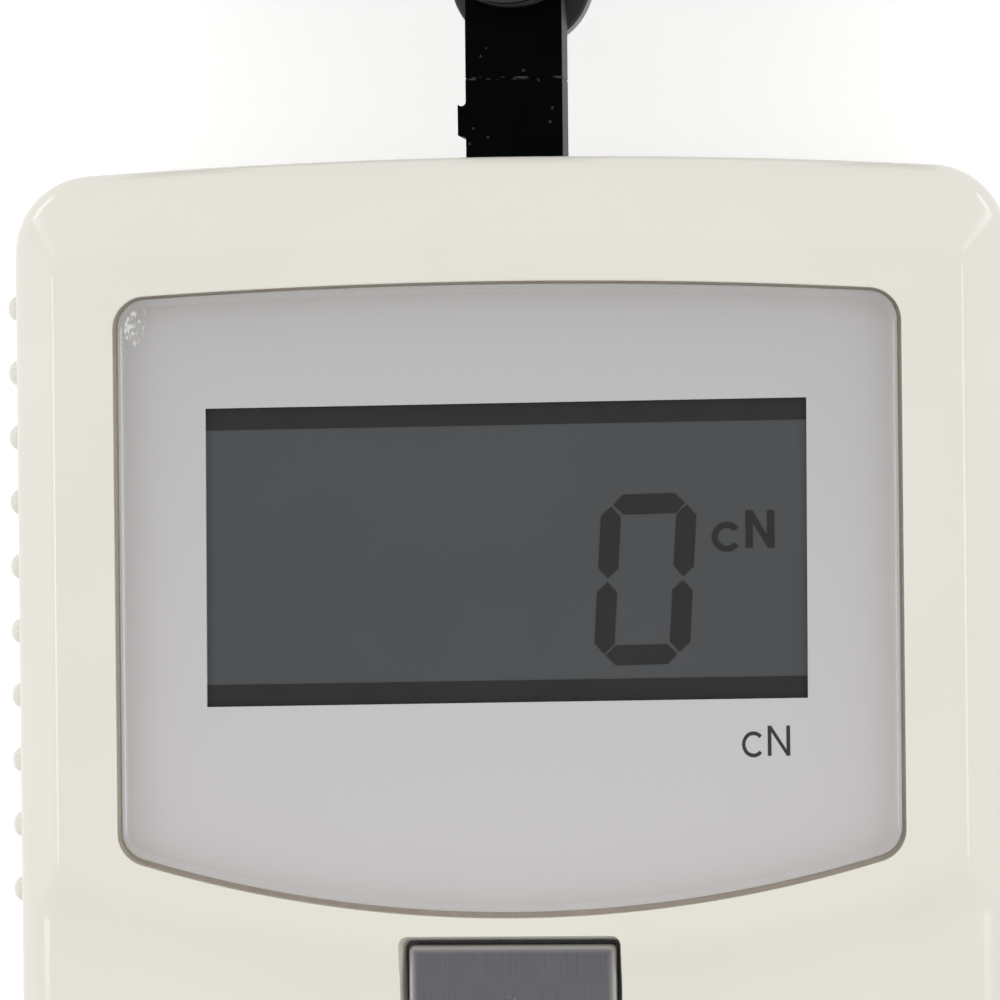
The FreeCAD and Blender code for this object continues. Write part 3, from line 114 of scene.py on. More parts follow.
# The side walls have finer points between these heights, where the step runs into them
STEP_MEETS_WALL = (22, 37)
BELLY_Y = WINDOW_Y - WINDOW_DOWN + WINDOW_BOTTOM_R
APERTURE = (31.0, 22.5, 14.5)
RIM_R = 0.16

# The display is set a little askew in its window: its level edges rise to the right and
# its upright ones lean to the right
DISPLAY_MIDDLE = (-0.33, WINDOW_Y + 3.97)
DISPLAY_SIZE = (51.05, 25.35)
DISPLAY_TILT = 0.43
DISPLAY_LEAN = 0.27
BAR_HEIGHT = 1.85
FIGURE_RAISE = 0.05
PANEL_GAP = 0.03

# Anti-slip studs on the side walls
STUD_FIRST = 12.3
STUD_PITCH = 5.53
STUD_ROWS = 10
FRONT_STUDS = (26.0, 31.5)
BACK_STUDS = (8.5, 14.0)

# Keys and their wells
KEY_GAP = 0.33
WELL_MOUTH = 0.3
WELL_MOUTH_DEPTH = 1.0
WELL_SHIFT = 0.17
KEY_FLANGE = 1.2
KEY_CORNER_R = 0.5
KEYS = ("power_key", "zero_key", "hold_key", "unit_key", "peak_key")

# Bosses and screws of the housing, and the board's posts
BOSS_PLACES = ((HOUSING_HALF - 6.8, 80.0), (HOUSING_HALF - 6.8, -2.0),
               ((HOUSING_HALF + HANDLE_HALF) / 2 - 11, -20.0))
BOSS_R = 4.0
BOSS_NECK_R = 3.25
BOSS_SEAT_Z = span("housing_screws")[0].z + 2.0
SCREW_HEAD_R = 2.5
SCREW_R = 1.3
POST_PLACES = ((HOUSING_HALF - 9.0, 30.0), (HOUSING_HALF - 9.0, 69.0))
LIP_HEIGHT = 1.5

# Battery compartment
DOOR_GAP = 0.2
DOOR_HALF = span("battery_cover")[1].x + DOOR_GAP - 2.0
DOOR_WING = 2.0
DOOR_LIP = 0.8
DOOR_TOP_Y = span("battery_cover")[1].y + DOOR_GAP
DOOR_CHANNEL_Z = span("battery_cover")[1].z + DOOR_GAP
TUB_LOW = (span("batteries")[0].x - 0.3, -80.8, 0.0)
TUB_HIGH = (span("batteries")[1].x + 0.3, -29.2, span("batteries")[1].z + 0.3)
TUB_WALL = 1.5

# Measuring head
STEM_HALF = 3.6
HUB_R = 6.2
HUB_Y = TOP_Y + 16.4
BAR_ROOT_ANGLE = -13
BAR_END_R = 5.4
BAR_VALLEY_R = 25.0
BEARING_R = 3.0
RING_WALL = 0.55
AXLE_R = 1.5
AXLE_HEAD_R = 2.5
AXLE_HEAD = 1.6

WHITE = "#ffffff"


def linear(hex_colour):
    """An sRGB hex colour as linear red, green, blue and alpha."""
    values = [int(hex_colour[i:i + 2], 16) / 255 for i in (1, 3, 5)]
    return [v / 12.92 if v <= 0.04045 else ((v + 0.055) / 1.055) ** 2.4 for v in values] + [1.0]


def add(tree, kind, settings=None, sockets=None):
    """Adds a node with its settings, and sets or links its input sockets."""
    made = tree.nodes.new(kind)
    for name, value in (settings or {}).items():
        setattr(made, name, value)
    for name, value in (sockets or {}).items():
        if isinstance(value, bpy.types.NodeSocket):
            tree.links.new(value, made.inputs[name])
        else:
            made.inputs[name].default_value = value
    return made


def new_material(name):
    """An empty material and its node tree."""
    material = bpy.data.materials.new(name)
    material.use_nodes = True
    material.node_tree.nodes.clear()
    return material, material.node_tree


def grain(tree, size, stretch=(1, 1, 1), detail=3.0, kind="ShaderNodeTexNoise"):
    """Noise whose features are about a real size in millimetres, stretched along an axis."""
    place = add(tree, "ShaderNodeTexCoord").outputs["Object"]
    scale = [1 / (size * MM * s) for s in stretch]
    mapped = add(tree, "ShaderNodeMapping", None, {"Vector": place, "Scale": scale})
    sockets = {"Vector": mapped.outputs["Vector"], "Scale": 1.0}
    if kind == "ShaderNodeTexNoise":
        sockets["Detail"] = detail
    return add(tree, kind, None, sockets)


def varied(tree, source, dark, light, low=0.35, high=0.65):
    """Colour that runs between two hex tones with a noise value."""
    fade = add(tree, "ShaderNodeMapRange", None, {"Value": source, "From Min": low, "From Max": high})
    sockets = {0: fade.outputs["Result"], 6: linear(dark), 7: linear(light)}
    return add(tree, "ShaderNodeMix", {"data_type": "RGBA"}, sockets).outputs[2]


def finished(tree, shader):
    """Leads a shader to the material's surface."""
    add(tree, "ShaderNodeOutputMaterial", None, {"Surface": shader})


def coated(name, dark, light, mottle, roughness, bump_size, bump, sockets=None, stretch=(1, 1, 1)):
    """A principled finish with mottled colour, uneven gloss and a fine bump of real size."""
    material, tree = new_material(name)
    tone = grain(tree, mottle).outputs["Fac"]
    fine = grain(tree, bump_size, stretch).outputs["Fac"]
    relief = add(tree, "ShaderNodeBump", None, {"Height": fine, "Strength": bump, "Distance": 0.02 * MM})
    gloss = add(tree, "ShaderNodeMapRange", None,
                {"Value": tone, "To Min": roughness * 0.88, "To Max": roughness * 1.14})
    values = {"Base Color": varied(tree, tone, dark, light), "Roughness": gloss.outputs["Result"],
              "Normal": relief.outputs["Normal"]}
    values.update(sockets or {})
    finished(tree, add(tree, "ShaderNodeBsdfPrincipled", None, values).outputs["BSDF"])
    return material


def specks(tree, size, share, chance):
    """One inside round specks: cells of a real size, a share of their width, how many have one."""
    cells = grain(tree, size, kind="ShaderNodeTexVoronoi").outputs
    less = {"operation": "LESS_THAN"}
    near = add(tree, "ShaderNodeMath", less, {0: cells["Distance"], 1: share}).outputs[0]
    pick = add(tree, "ShaderNodeSeparateColor", None, {"Color": cells["Color"]}).outputs["Red"]
    pick = add(tree, "ShaderNodeMath", less, {0: pick, 1: chance}).outputs[0]
    return add(tree, "ShaderNodeMath", {"operation": "MULTIPLY"}, {0: near, 1: pick}).outputs[0]


def gap_dirt_and_shade(tree):
    """One down in the narrow gap about the display sheet: partly fine dirt, partly painted shade of the
    recess.
    """
    slip = 0.05
    place = add(tree, "ShaderNodeTexCoord").outputs["Object"]
    parts = add(tree, "ShaderNodeSeparateXYZ", None, {"Vector": place}).outputs
    middle_y = WINDOW_Y + (WINDOW_UP - WINDOW_DOWN) / 2
    reach_y = (WINDOW_UP + WINDOW_DOWN) / 2 + slip
    middle_z, reach_z = (FACE_Z + PANEL_BACK_Z) / 2, (FACE_Z - PANEL_BACK_Z) / 2 + 0.2
    amount = add(tree, "ShaderNodeMapRange", None, {
        "Value": parts["Z"], "From Min": (FACE_Z - 0.1) * MM,
        "From Max": (FACE_Z - 0.5) * MM}).outputs["Result"]
    level = add(tree, "ShaderNodeVectorMath", {"operation": "MULTIPLY"}, {0: place, 1: (1, 1, 0)})
    away = add(tree, "ShaderNodeVectorMath", {"operation": "DISTANCE"},
               {0: level.outputs["Vector"], 1: (0, BELLY_Y * MM, 0)}).outputs["Value"]
    limits = ((parts["X"], 0.0, WINDOW_HALF + slip), (parts["Y"], middle_y, reach_y),
              (parts["Z"], middle_z, reach_z), (away, 0.0, WINDOW_BOTTOM_R + slip))
    for value, middle, reach in limits:
        inside = add(tree, "ShaderNodeMath", {"operation": "COMPARE"},
                     {0: value, 1: middle * MM, 2: reach * MM}).outputs[0]
        amount = add(tree, "ShaderNodeMath", {"operation": "MULTIPLY"}, {0: amount, 1: inside}).outputs[0]
    return amount


def moulded_abs():
    """Moulded ABS: a warm white, glossy skin with a barely mottled tone and a few fine dark specks."""
    material, tree = new_material("moulded_abs_warm_white")
    tone = grain(tree, 14).outputs["Fac"]
    base = varied(tree, tone, "#e4e1d7", "#e6e3d9")
    colour = blended(tree, specks(tree, 9, 0.011, 0.4), base, "#8d8779")
    patchy = add(tree, "ShaderNodeMapRange", None, {
        "Value": grain(tree, 1.1).outputs["Fac"], "To Min": 0.7, "To Max": 1.2}).outputs["Result"]
    # The gap about the display sheet is tinted brown-grey: partly dirt, partly painted shade that darkens the
    # recess.
    dirt_and_shade = add(tree, "ShaderNodeMath", {"operation": "MULTIPLY"}, {0: gap_dirt_and_shade(tree), 1: patchy})
    colour = blended(tree, dirt_and_shade.outputs[0], colour, "#bdb3a5")
    skin = grain(tree, 0.9).outputs["Fac"]
    relief = add(tree, "ShaderNodeBump", None, {"Height": skin, "Strength": 0.05, "Distance": 0.02 * MM})
    gloss = add(tree, "ShaderNodeMapRange", None, {"Value": tone, "To Min": 0.12, "To Max": 0.18})
    shader = add(tree, "ShaderNodeBsdfPrincipled", None, {
        "Base Color": colour, "Roughness": gloss.outputs["Result"], "IOR": 1.53,
        "Normal": relief.outputs["Normal"]})
    finished(tree, shader.outputs["BSDF"])
    return material


def sloping(tree, limit):
    """One where a face slopes away from level by more than a limit, else nought."""
    normal = add(tree, "ShaderNodeNewGeometry").outputs["True Normal"]
    upright = add(tree, "ShaderNodeSeparateXYZ", None, {"Vector": normal}).outputs["Z"]
    steep = add(tree, "ShaderNodeMath", {"operation": "ABSOLUTE"}, {0: upright}).outputs[0]
    return add(tree, "ShaderNodeMath", {"operation": "LESS_THAN"}, {0: steep, 1: limit}).outputs[0]


def blended(tree, amount, base, light):
    """Colour that goes from a linked base to a hex tone by an amount."""
    sockets = {0: amount, 6: base, 7: linear(light)}
    return add(tree, "ShaderNodeMix", {"data_type": "RGBA"}, sockets).outputs[2]


def brushed_cap():
    """Brushed metal cap: fine upright lines that break the light into streaks, and a painted highlight that
    makes the sloping rim bright.
    """
    material, tree = new_material("brushed_metal_cap")
    lines = grain(tree, 0.07, (1, 60, 60)).outputs["Fac"]
    broad = grain(tree, 1.6, (1, 12, 12), 6.0).outputs["Fac"]
    marks = grain(tree, 0.3, (1, 2.5, 1)).outputs["Fac"]
    nicks = add(tree, "ShaderNodeMapRange", None, {
        "Value": marks, "From Min": 0.72, "From Max": 0.77, "To Max": 0.4})
    relief = add(tree, "ShaderNodeBump", None, {"Height": lines, "Strength": 0.14, "Distance": 0.02 * MM})
    gloss = add(tree, "ShaderNodeMapRange", None, {"Value": broad, "To Min": 0.36, "To Max": 0.44})
    tone = varied(tree, lines, "#59595d", "#65656a", 0.3, 0.7)
    tone = blended(tree, nicks.outputs["Result"], tone, "#a9a9ab")
    # Painted highlight: the sloping rim is lightened by how far its normal tilts from level, in place of the
    # light it catches.
    normal = add(tree, "ShaderNodeNewGeometry").outputs["Normal"]
    upright = add(tree, "ShaderNodeSeparateXYZ", None, {"Vector": normal}).outputs["Z"]
    rim = add(tree, "ShaderNodeMapRange", None, {"Value": upright, "From Min": 0.9995, "From Max": 0.975})
    tone = blended(tree, rim.outputs["Result"], tone, "#a3a19c")
    shader = add(tree, "ShaderNodeBsdfPrincipled", None, {
        "Base Color": tone, "Roughness": gloss.outputs["Result"], "Metallic": 0.5,
        "Normal": relief.outputs["Normal"]})
    finished(tree, shader.outputs["BSDF"])
    return material


def scuffed(tree, clean):
    """White scuffs in one upper corner of a clear sheet, where it has been knocked."""
    corner = Vector((1.0 - WINDOW_HALF, WINDOW_Y + WINDOW_UP - 3.4, LENS_FRONT_Z)) * MM
    place = add(tree, "ShaderNodeTexCoord").outputs["Object"]
    away = add(tree, "ShaderNodeVectorMath", {"operation": "DISTANCE"}, {0: place, 1: corner})
    near = add(tree, "ShaderNodeMapRange", None, {
        "Value": away.outputs["Value"], "From Min": 0.5 * MM, "From Max": 5.0 * MM,
        "To Min": 0.17, "To Max": -0.34}).outputs["Result"]
    marks = grain(tree, 0.28, (1, 2.2, 1), 12.0).outputs["Fac"]
    total = add(tree, "ShaderNodeMath", {"operation": "ADD"}, {0: marks, 1: near}).outputs[0]
    amount = add(tree, "ShaderNodeMapRange", None, {
        "Value": total, "From Min": 0.6, "From Max": 0.72, "To Max": 0.6}).outputs["Result"]
    white = add(tree, "ShaderNodeBsdfDiffuse", None, {"Color": linear("#f4f4f2")})
    return add(tree, "ShaderNodeMixShader", None, {0: amount, 1: clean, 2: white.outputs["BSDF"]}).outputs[0]


def cast_acrylic():
    """Cast acrylic sheet: clear face on, gleaming at a slant, and bending light at its polished rim."""
    material, tree = new_material("cast_acrylic_clear")
    rim = add(tree, "ShaderNodeBsdfPrincipled", None, {
        "Base Color": linear("#fbfbfb"), "Roughness": 0.1, "IOR": 1.49, "Transmission Weight": 1.0})
    clear = add(tree, "ShaderNodeBsdfTransparent").outputs["BSDF"]
    glint = add(tree, "ShaderNodeBsdfAnisotropic", None, {"Color": linear(WHITE), "Roughness": 0.06})
    slant = add(tree, "ShaderNodeLayerWeight", None, {"Blend": 0.5}).outputs["Facing"]
    shine = add(tree, "ShaderNodeMapRange", {"interpolation_type": "SMOOTHSTEP"},
                {"Value": slant, "From Min": 0.1, "To Max": 0.35}).outputs["Result"]
    face = add(tree, "ShaderNodeMixShader", None, {0: shine, 1: clear, 2: glint.outputs["BSDF"]})
    sheet = add(tree, "ShaderNodeMixShader", None, {
        0: sloping(tree, 0.99), 1: scuffed(tree, face.outputs[0]), 2: rim.outputs["BSDF"]})
    path = add(tree, "ShaderNodeLightPath").outputs
    passing = add(tree, "ShaderNodeMath", {"operation": "MAXIMUM"},
                  {0: path["Is Shadow Ray"], 1: path["Is Diffuse Ray"]}).outputs[0]
    mix = add(tree, "ShaderNodeMixShader", None, {0: passing, 1: sheet.outputs[0], 2: clear})
    finished(tree, mix.outputs[0])
    return material


def screen_print():
    """Screen-printed plastic sheet: an even silver grey, a little lighter low down; the darkening towards the
    top is painted shade.
    """
    material, tree = new_material("screen_printed_silver_grey")
    place = add(tree, "ShaderNodeTexCoord").outputs["Object"]
    parts = add(tree, "ShaderNodeSeparateXYZ", None, {"Vector": place})
    low = (WINDOW_Y - WINDOW_DOWN) * MM
    high = (WINDOW_Y + WINDOW_UP) * MM
    # Painted shade: the print grows darker towards the top of the window.
    rise = add(tree, "ShaderNodeMapRange", None, {
        "Value": parts.outputs["Y"], "From Min": low, "From Max": high})
    mix = add(tree, "ShaderNodeMix", {"data_type": "RGBA"}, {
        0: rise.outputs["Result"], 6: linear("#cac8c8"), 7: linear("#bdbcbc")})
    shader = add(tree, "ShaderNodeBsdfPrincipled", None, {
        "Base Color": mix.outputs[2], "Roughness": 0.55, "Specular IOR Level": 0.2})
    finished(tree, shader.outputs["BSDF"])
    return material


def deselect():
    """Leaves edit mode and clears the selection."""
    if bpy.context.object and bpy.context.object.mode == "EDIT":
        bpy.ops.object.mode_set(mode="OBJECT")
    bpy.ops.object.select_all(action="DESELECT")


def choose(piece):
    """Selects one piece and makes it the active one."""
    deselect()
    piece.select_set(True)
    bpy.context.view_layer.objects.active = piece


def tidy_mesh(piece, fill=False):
    """Merges doubled points, closes open ends and turns the faces outwards."""
    choose(piece)
    bpy.ops.object.mode_set(mode="EDIT")
    bpy.ops.mesh.select_all(action="SELECT")
    bpy.ops.mesh.remove_doubles(threshold=MERGE)
    if fill:
        bpy.ops.mesh.fill_holes(sides=0)
    bpy.ops.mesh.select_all(action="SELECT")
    bpy.ops.mesh.normals_make_consistent(inside=False)
    bpy.ops.object.mode_set(mode="OBJECT")
    return piece


def formed(name, rows, fill=False):
    """A grid whose vertices are moved to rows of points; points that meet are merged."""
    deselect()
    bpy.ops.mesh.primitive_grid_add(x_subdivisions=len(rows[0]) - 1, y_subdivisions=len(rows) - 1, size=1)
    piece = bpy.context.object
    piece.name = name
    flat = [value for row in rows for point in row for value in point]
    piece.data.vertices.foreach_set("co", flat)
    piece.data.update()
    return tidy_mesh(piece, fill)


def prism(name, rings):
    """A closed solid through rings of points, one above the other."""
    return formed(name, [ring + ring[:1] for ring in rings], fill=True)


def block(name, low, high):
    """A box between two corners."""
    deselect()
    low, high = Vector(low), Vector(high)
    bpy.ops.mesh.primitive_cube_add(size=1, location=(low + high) / 2, scale=high - low)
    bpy.ops.object.transform_apply(location=True, rotation=True, scale=True)
    bpy.context.object.name = name
    return bpy.context.object


def lathe(name, profile, centre, steps=48, axis="Z"):
    """A solid of revolution: radius and height pairs, turned about an axis through a centre."""
    rings = []
    for radius, height in profile:
        ring = []
        for i in range(steps):
            a = 2 * math.pi * i / steps
            u, v = radius * math.cos(a), radius * math.sin(a)
            offset = {"Z": (u, v, height), "X": (height, u, v), "Y": (v, height, u)}[axis]
            ring.append(tuple(Vector(centre) + Vector(offset)))
        rings.append(ring)
    return prism(name, rings)


def ring_lathe(name, profile, centre, steps=48):
    """A ring: the same, with the last pair joined to the first so that a hole is left."""
    rings = []
    for radius, height in profile + profile[:1]:
        rings.append([(centre[0] + radius * math.cos(2 * math.pi * i / steps),
                       centre[1] + radius * math.sin(2 * math.pi * i / steps),
                       centre[2] + height) for i in range(steps)])
    return formed(name, [ring + ring[:1] for ring in rings])


def joined(name, pieces):
    """Several pieces as one object."""
    choose(pieces[0])
    for piece in pieces:
        piece.select_set(True)
    bpy.ops.object.join()
    bpy.context.object.name = name
    return bpy.context.object


def combine(piece, tool, operation="DIFFERENCE"):
    """Cuts with, adds or keeps what is in a tool, and removes the tool."""
    choose(piece)
    modifier = piece.modifiers.new("combine", "BOOLEAN")
    modifier.object = tool
    modifier.operation = operation
    modifier.solver = "EXACT"
    bpy.ops.object.modifier_apply(modifier="combine")
    bpy.data.objects.remove(tool)
    return piece


def eased(piece, width, segments=2, angle=40):
    """Eases sharp edges with a small rounding."""
    choose(piece)
    modifier = piece.modifiers.new("ease", "BEVEL")
    modifier.width = width
    modifier.segments = segments
    modifier.limit_method = "ANGLE"
    modifier.angle_limit = math.radians(angle)
    bpy.ops.object.modifier_apply(modifier="ease")
    return piece


def done(piece, material, body, slot, *nodes, angle=32):
    """Brings a piece to metres, shades it, gives it its finish and body, and hides the CAD nodes it stands
    for.
    """
    choose(piece)
    piece.data.transform(Matrix.Scale(MM, 4))
    piece.data.materials.clear()
    piece.data.materials.append(material)
    bpy.ops.object.shade_smooth_by_angle(angle=math.radians(angle))
    modifier = piece.modifiers.new("weights", "WEIGHTED_NORMAL")
    modifier.keep_sharp = True
    bpy.ops.object.modifier_apply(modifier="weights")
    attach(piece, body)
    if nodes:
        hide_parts(*nodes)
    return piece


def arc(centre, radius, start, end, count):
    """Points along an arc between two angles in degrees, without the last one."""
    angles = [math.radians(start + (end - start) * i / count) for i in range(count)]
    return [(centre[0] + radius * math.cos(a), centre[1] + radius * math.sin(a)) for a in angles]


def line(a, b, count):
    """Points along a line, without the last one."""
    return [(a[0] + (b[0] - a[0]) * i / count, a[1] + (b[1] - a[1]) * i / count) for i in range(count)]


def closed(half):
    """The whole outline of a symmetrical shape from its right half."""
    return half + [(-x, y) for x, y in reversed(half[1:-1])]


def both_sides(places):
    """Places on the right, and the same on the left."""
    return [(side * x, y) for x, y in places for side in (-1, 1)]


def crowned_corner(half, centre_y, arc_r, corner_r, sign):
    """Middle and end angle of the corner arc between an upright side and a crowned end."""
    x = half - corner_r
    rise = math.sqrt((arc_r - corner_r) ** 2 - x ** 2)
    return (x, centre_y + sign * rise), math.degrees(math.atan2(sign * rise, x))


def housing_half(side=0.0, top=0.0, bottom=0.0, top_corner=TOP_CORNER_R, handle_corner=HANDLE_CORNER_R):
    """Right half of the housing outline, from the bottom centre to the top centre."""
    half = HOUSING_HALF - side
    handle = HANDLE_HALF - side
    step = HOUSING_HALF - HANDLE_HALF
    waist_r = (WAIST_LENGTH ** 2 + step ** 2) / (4 * step)
    top_centre = (0, TOP_Y - TOP_ARC_R)
    sole_centre = (0, BOTTOM_ARC_R - TOP_Y)
    upper, upper_angle = crowned_corner(half, top_centre[1], TOP_ARC_R - top, top_corner, 1)
    lower, lower_angle = crowned_corner(handle, sole_centre[1], BOTTOM_ARC_R - bottom, handle_corner, -1)
    hip = (HOUSING_HALF - waist_r, WAIST_TOP_Y)
    hollow = (HANDLE_HALF + waist_r, WAIST_TOP_Y - WAIST_LENGTH)
    turn = -math.degrees(math.atan2(WAIST_LENGTH, hollow[0] - hip[0]))
    points = arc(sole_centre, BOTTOM_ARC_R - bottom, -90, lower_angle, 20)
    points += arc(lower, handle_corner, lower_angle, 0, 14)
    points += line((handle, lower[1]), (handle, hollow[1]), 10)
    points += arc(hollow, waist_r + side, 180, 180 + turn, 14)
    points += arc(hip, waist_r - side, turn, 0, 14)
    step_low, step_high = STEP_MEETS_WALL
    points += line((half, hip[1]), (half, step_low), 8)
    points += line((half, step_low), (half, step_high), 30)
    points += line((half, step_high), (half, upper[1]), 12)
    points += arc(upper, top_corner, 0, upper_angle, 16)
    points += arc(top_centre, TOP_ARC_R - top, upper_angle, 90, 24)
    return points + [(0.0, TOP_Y - top)]


def drawn_in(margin):
    """The housing outline drawn in by the same margin all round."""
    return housing_half(margin, margin, margin,
                        max(TOP_CORNER_R - margin, 1), max(HANDLE_CORNER_R - margin, 1))


def face_height(x, y):
    """Height of the front face: level, then down a soft curved step to the keypad."""
    r = math.hypot(x, BELLY_Y - y) if y < BELLY_Y else 0
    u = min(max((r - WINDOW_BOTTOM_R - STEP_RIM) / STEP_RUN, 0), 1)
    return FACE_Z - STEP_DROP * u * u * (3 - 2 * u)


def lower_of(a, b, blend):
    """The lower of two heights, with a rounded change from one to the other."""
    h = max(blend - abs(a - b), 0) / blend
    return min(a, b) - h * h * blend / 4


def belly_row(point, z, count):
    """Points from the right of a row to its left, along an arc about the belly of the window."""
    x, y = point
    r = math.hypot(x, BELLY_Y - y)
    half = math.atan2(x, BELLY_Y - y)
    angles = [half - 2 * half * i / count for i in range(1, count)]
    return [(r * math.sin(a), BELLY_Y - r * math.cos(a), z) for a in angles]


def shell(name, right_rings, face_ring, roof_ring, columns=28):
    """A closed cover: each row runs round the section, over the face and back under the roof."""
    rows = []
    for i in range(len(face_ring)):
        right = [ring[i] for ring in right_rings]
        left = [(-x, y, z) for x, y, z in reversed(right)]
        over = belly_row(face_ring[i][:2], face_ring[i][2], columns)
        under = [(-x, y, z) for x, y, z in belly_row(roof_ring[i][:2], roof_ring[i][2], columns)]
        row = right + over + left + under
        rows.append(row + row[:1])
    return formed(name, rows)


def raised(outline, z):
    """An outline as a ring of points at one height."""
    return [(x, y, z) for x, y in outline]


def front_rings():
    """Rings of the front cover's section, from the inside of its roof to the face."""
    shoulder_z = FACE_Z - SHOULDER_DEPTH
    foot = housing_half()
    ridge = housing_half(SIDE_BEVEL, TOP_BEVEL, BOTTOM_BEVEL, RIDGE_CORNER_R, HANDLE_CORNER_R - SIDE_BEVEL)
    inner = drawn_in(WALL)
    lip = drawn_in(WALL / 2 + 0.1)
    rings = [raised(inner, FACE_Z - ROOF), raised(inner, PARTING_Z - LIP_HEIGHT),
             raised(lip, PARTING_Z - LIP_HEIGHT), raised(lip, PARTING_Z), raised(drawn_in(0.25), PARTING_Z),
             raised(foot, PARTING_Z + 0.25), raised(foot, shoulder_z - SHOULDER_BLEND)]

    def on_bevel(i, t):
        x = foot[i][0] + (ridge[i][0] - foot[i][0]) * t
        y = foot[i][1] + (ridge[i][1] - foot[i][1]) * t
        level = face_height(x, y)
        blend = RIDGE_BLEND + KEYPAD_BLEND * (FACE_Z - level) / STEP_DROP
        return x, y, lower_of(shoulder_z + SHOULDER_DEPTH * t, level, blend)

    first = 0.22
    for step in range(1, 6):
        u = step / 6
        ring = []
        for i in range(len(foot)):
            end = on_bevel(i, first)
            x = foot[i][0] + (end[0] - foot[i][0]) * u * u
            y = foot[i][1] + (end[1] - foot[i][1]) * u * u
            z = ((1 - u) ** 2 * (shoulder_z - SHOULDER_BLEND) + 2 * u * (1 - u) * shoulder_z + u * u * end[2])
            ring.append((x, y, z))
        rings.append(ring)
    tops = [(face_height(*p) - shoulder_z) / SHOULDER_DEPTH for p in ridge]
    near = 0.14
    for share in (0, 0.35, 0.7):
        rings.append([on_bevel(i, first + (top - near - first) * share) for i, top in enumerate(tops)])
    for offset in (-near, -0.09, -0.05, -0.02, 0.01, 0.04, 0.08, 0.13, 0.26):
        rings.append([on_bevel(i, top + offset) for i, top in enumerate(tops)])
    return rings


def rear_rings():
    """Rings of the rear cover's section, from the inside of its floor to its back."""
    inner = drawn_in(WALL)
    top = PARTING_Z - SHADOW_GAP
    seat = drawn_in(WALL / 2)
    rings = [raised(inner, FLOOR), raised(inner, PARTING_Z - LIP_HEIGHT - 0.1),
             raised(seat, PARTING_Z - LIP_HEIGHT - 0.1), raised(seat, PARTING_Z),
             raised(drawn_in(SHADOW_GAP), PARTING_Z), raised(drawn_in(SHADOW_GAP), top),
             raised(drawn_in(0.15), top), raised(drawn_in(0), top - 0.15)]
    for step in range(9):
        a = math.radians(90 * step / 8)
        margin = BACK_EDGE_R * (1 - math.cos(a))
        rings.append(raised(drawn_in(margin), BACK_EDGE_R * (1 - math.sin(a))))
    rings.append(raised(drawn_in(BACK_EDGE_R + 0.4), 0.0))
    return rings


def window_outline(margin):
    """Closed outline of the display window: upright sides, a flat crown and a deep belly."""
    half = WINDOW_HALF - margin
    corner = WINDOW_CORNER_R - margin
    top_centre = (0, WINDOW_Y + WINDOW_UP - WINDOW_TOP_R)
    upper, upper_angle = crowned_corner(half, top_centre[1], WINDOW_TOP_R - margin, corner, 1)
    lower, lower_angle = crowned_corner(half, BELLY_Y, WINDOW_BOTTOM_R - margin, corner, -1)
    right = arc((0, BELLY_Y), WINDOW_BOTTOM_R - margin, -90, lower_angle, 24)
    right += arc(lower, corner, lower_angle, 0, 10)
    right += line((half, lower[1]), (half, upper[1]), 2)
    right += arc(upper, corner, 0, upper_angle, 10)
    right += arc(top_centre, WINDOW_TOP_R - margin, upper_angle, 90, 16)
    top = [(0, WINDOW_Y + WINDOW_UP - margin)]
    return right + top + [(-x, y) for x, y in reversed(right[1:])]


def rounded_rectangle(centre, half_w, half_h, radius, count=6, side=1):
    """Closed outline of a rectangle with rounded corners and divided sides."""
    x, y = centre
    w, h = half_w - radius, half_h - radius
    points = arc((x + w, y - h), radius, -90, 0, count)
    points += line((x + half_w, y - h), (x + half_w, y + h), side)
    points += arc((x + w, y + h), radius, 0, 90, count)
    points += line((x + w, y + half_h), (x - w, y + half_h), side)
    points += arc((x - w, y + h), radius, 90, 180, count)
    points += line((x - half_w, y + h), (x - half_w, y - h), side)
    points += arc((x - w, y - h), radius, 180, 270, count)
    return points + line((x - w, y - half_h), (x + w, y - half_h), side)


def flared_cutter(name, outline, base_z, radius):
    """Cutter whose walls roll outwards at the face, so that the rim it leaves is rounded."""
    rings = [raised(outline(0), base_z)]
    for step in range(6):
        a = math.radians(90 * step / 5)
        grown = outline(-radius * (1 - math.cos(a)))
        rings.append([(x, y, face_height(x, y) - radius * (1 - math.sin(a))) for x, y in grown])
    rings.append([(x, y, z + 3) for x, y, z in rings[-1]])
    return prism(name, rings)


def key_shape(node):
    """Middle and half sizes of a key's cap, without its flange."""
    low, high = span(node)
    middle = (low + high) / 2
    return middle, (high.x - low.x) / 2 - KEY_FLANGE, (high.y - low.y) / 2 - KEY_FLANGE, high.z


def well_cutter(node):
    """Well of a key: a close fit below, and a mouth that opens most to the left and the top."""
    middle, half_w, half_h, _ = key_shape(node)
    rings = []
    for step in range(-1, 9):
        u = max(step, 0) / 8
        flare = WELL_MOUTH * (0.35 * u + 0.65 * u ** 4)
        shift = WELL_SHIFT * u
        outline = rounded_rectangle((middle.x - shift, middle.y + shift), half_w + KEY_GAP + flare,
                                    half_h + KEY_GAP + flare, KEY_CORNER_R + flare, 6, 24)
        if step < 0:
            rings.append(raised(outline, FACE_Z - ROOF - 1))
            continue
        ring = []
        for x, y in outline:
            steeper = 1 + 1.3 * max(y - middle.y, 0) / half_h
            ring.append((x, y, face_height(x, y) - WELL_MOUTH_DEPTH * (1 - u ** 1.5) * steeper))
        rings.append(ring)
    rings.append([(x, y, z + 3) for x, y, z in rings[-1]])
    return prism("well", rings)


def side_domes(levels):
    """Rounded anti-slip studs in rows on both side walls."""
    studs = []
    profile = [(1.15, -0.9), (1.15, 0.1), (1.1, 0.38), (0.98, 0.64), (0.78, 0.86), (0.5, 1.02), (0.2, 1.09)]
    for row in range(STUD_ROWS):
        y = TOP_Y - STUD_FIRST - row * STUD_PITCH
        for z in levels:
            for side in (-1, 1):
                shape = [(radius, side * out) for radius, out in profile]
                studs.append(lathe("stud", shape, (side * HOUSING_HALF, y, z), 16, "X"))
    return joined("studs", studs)


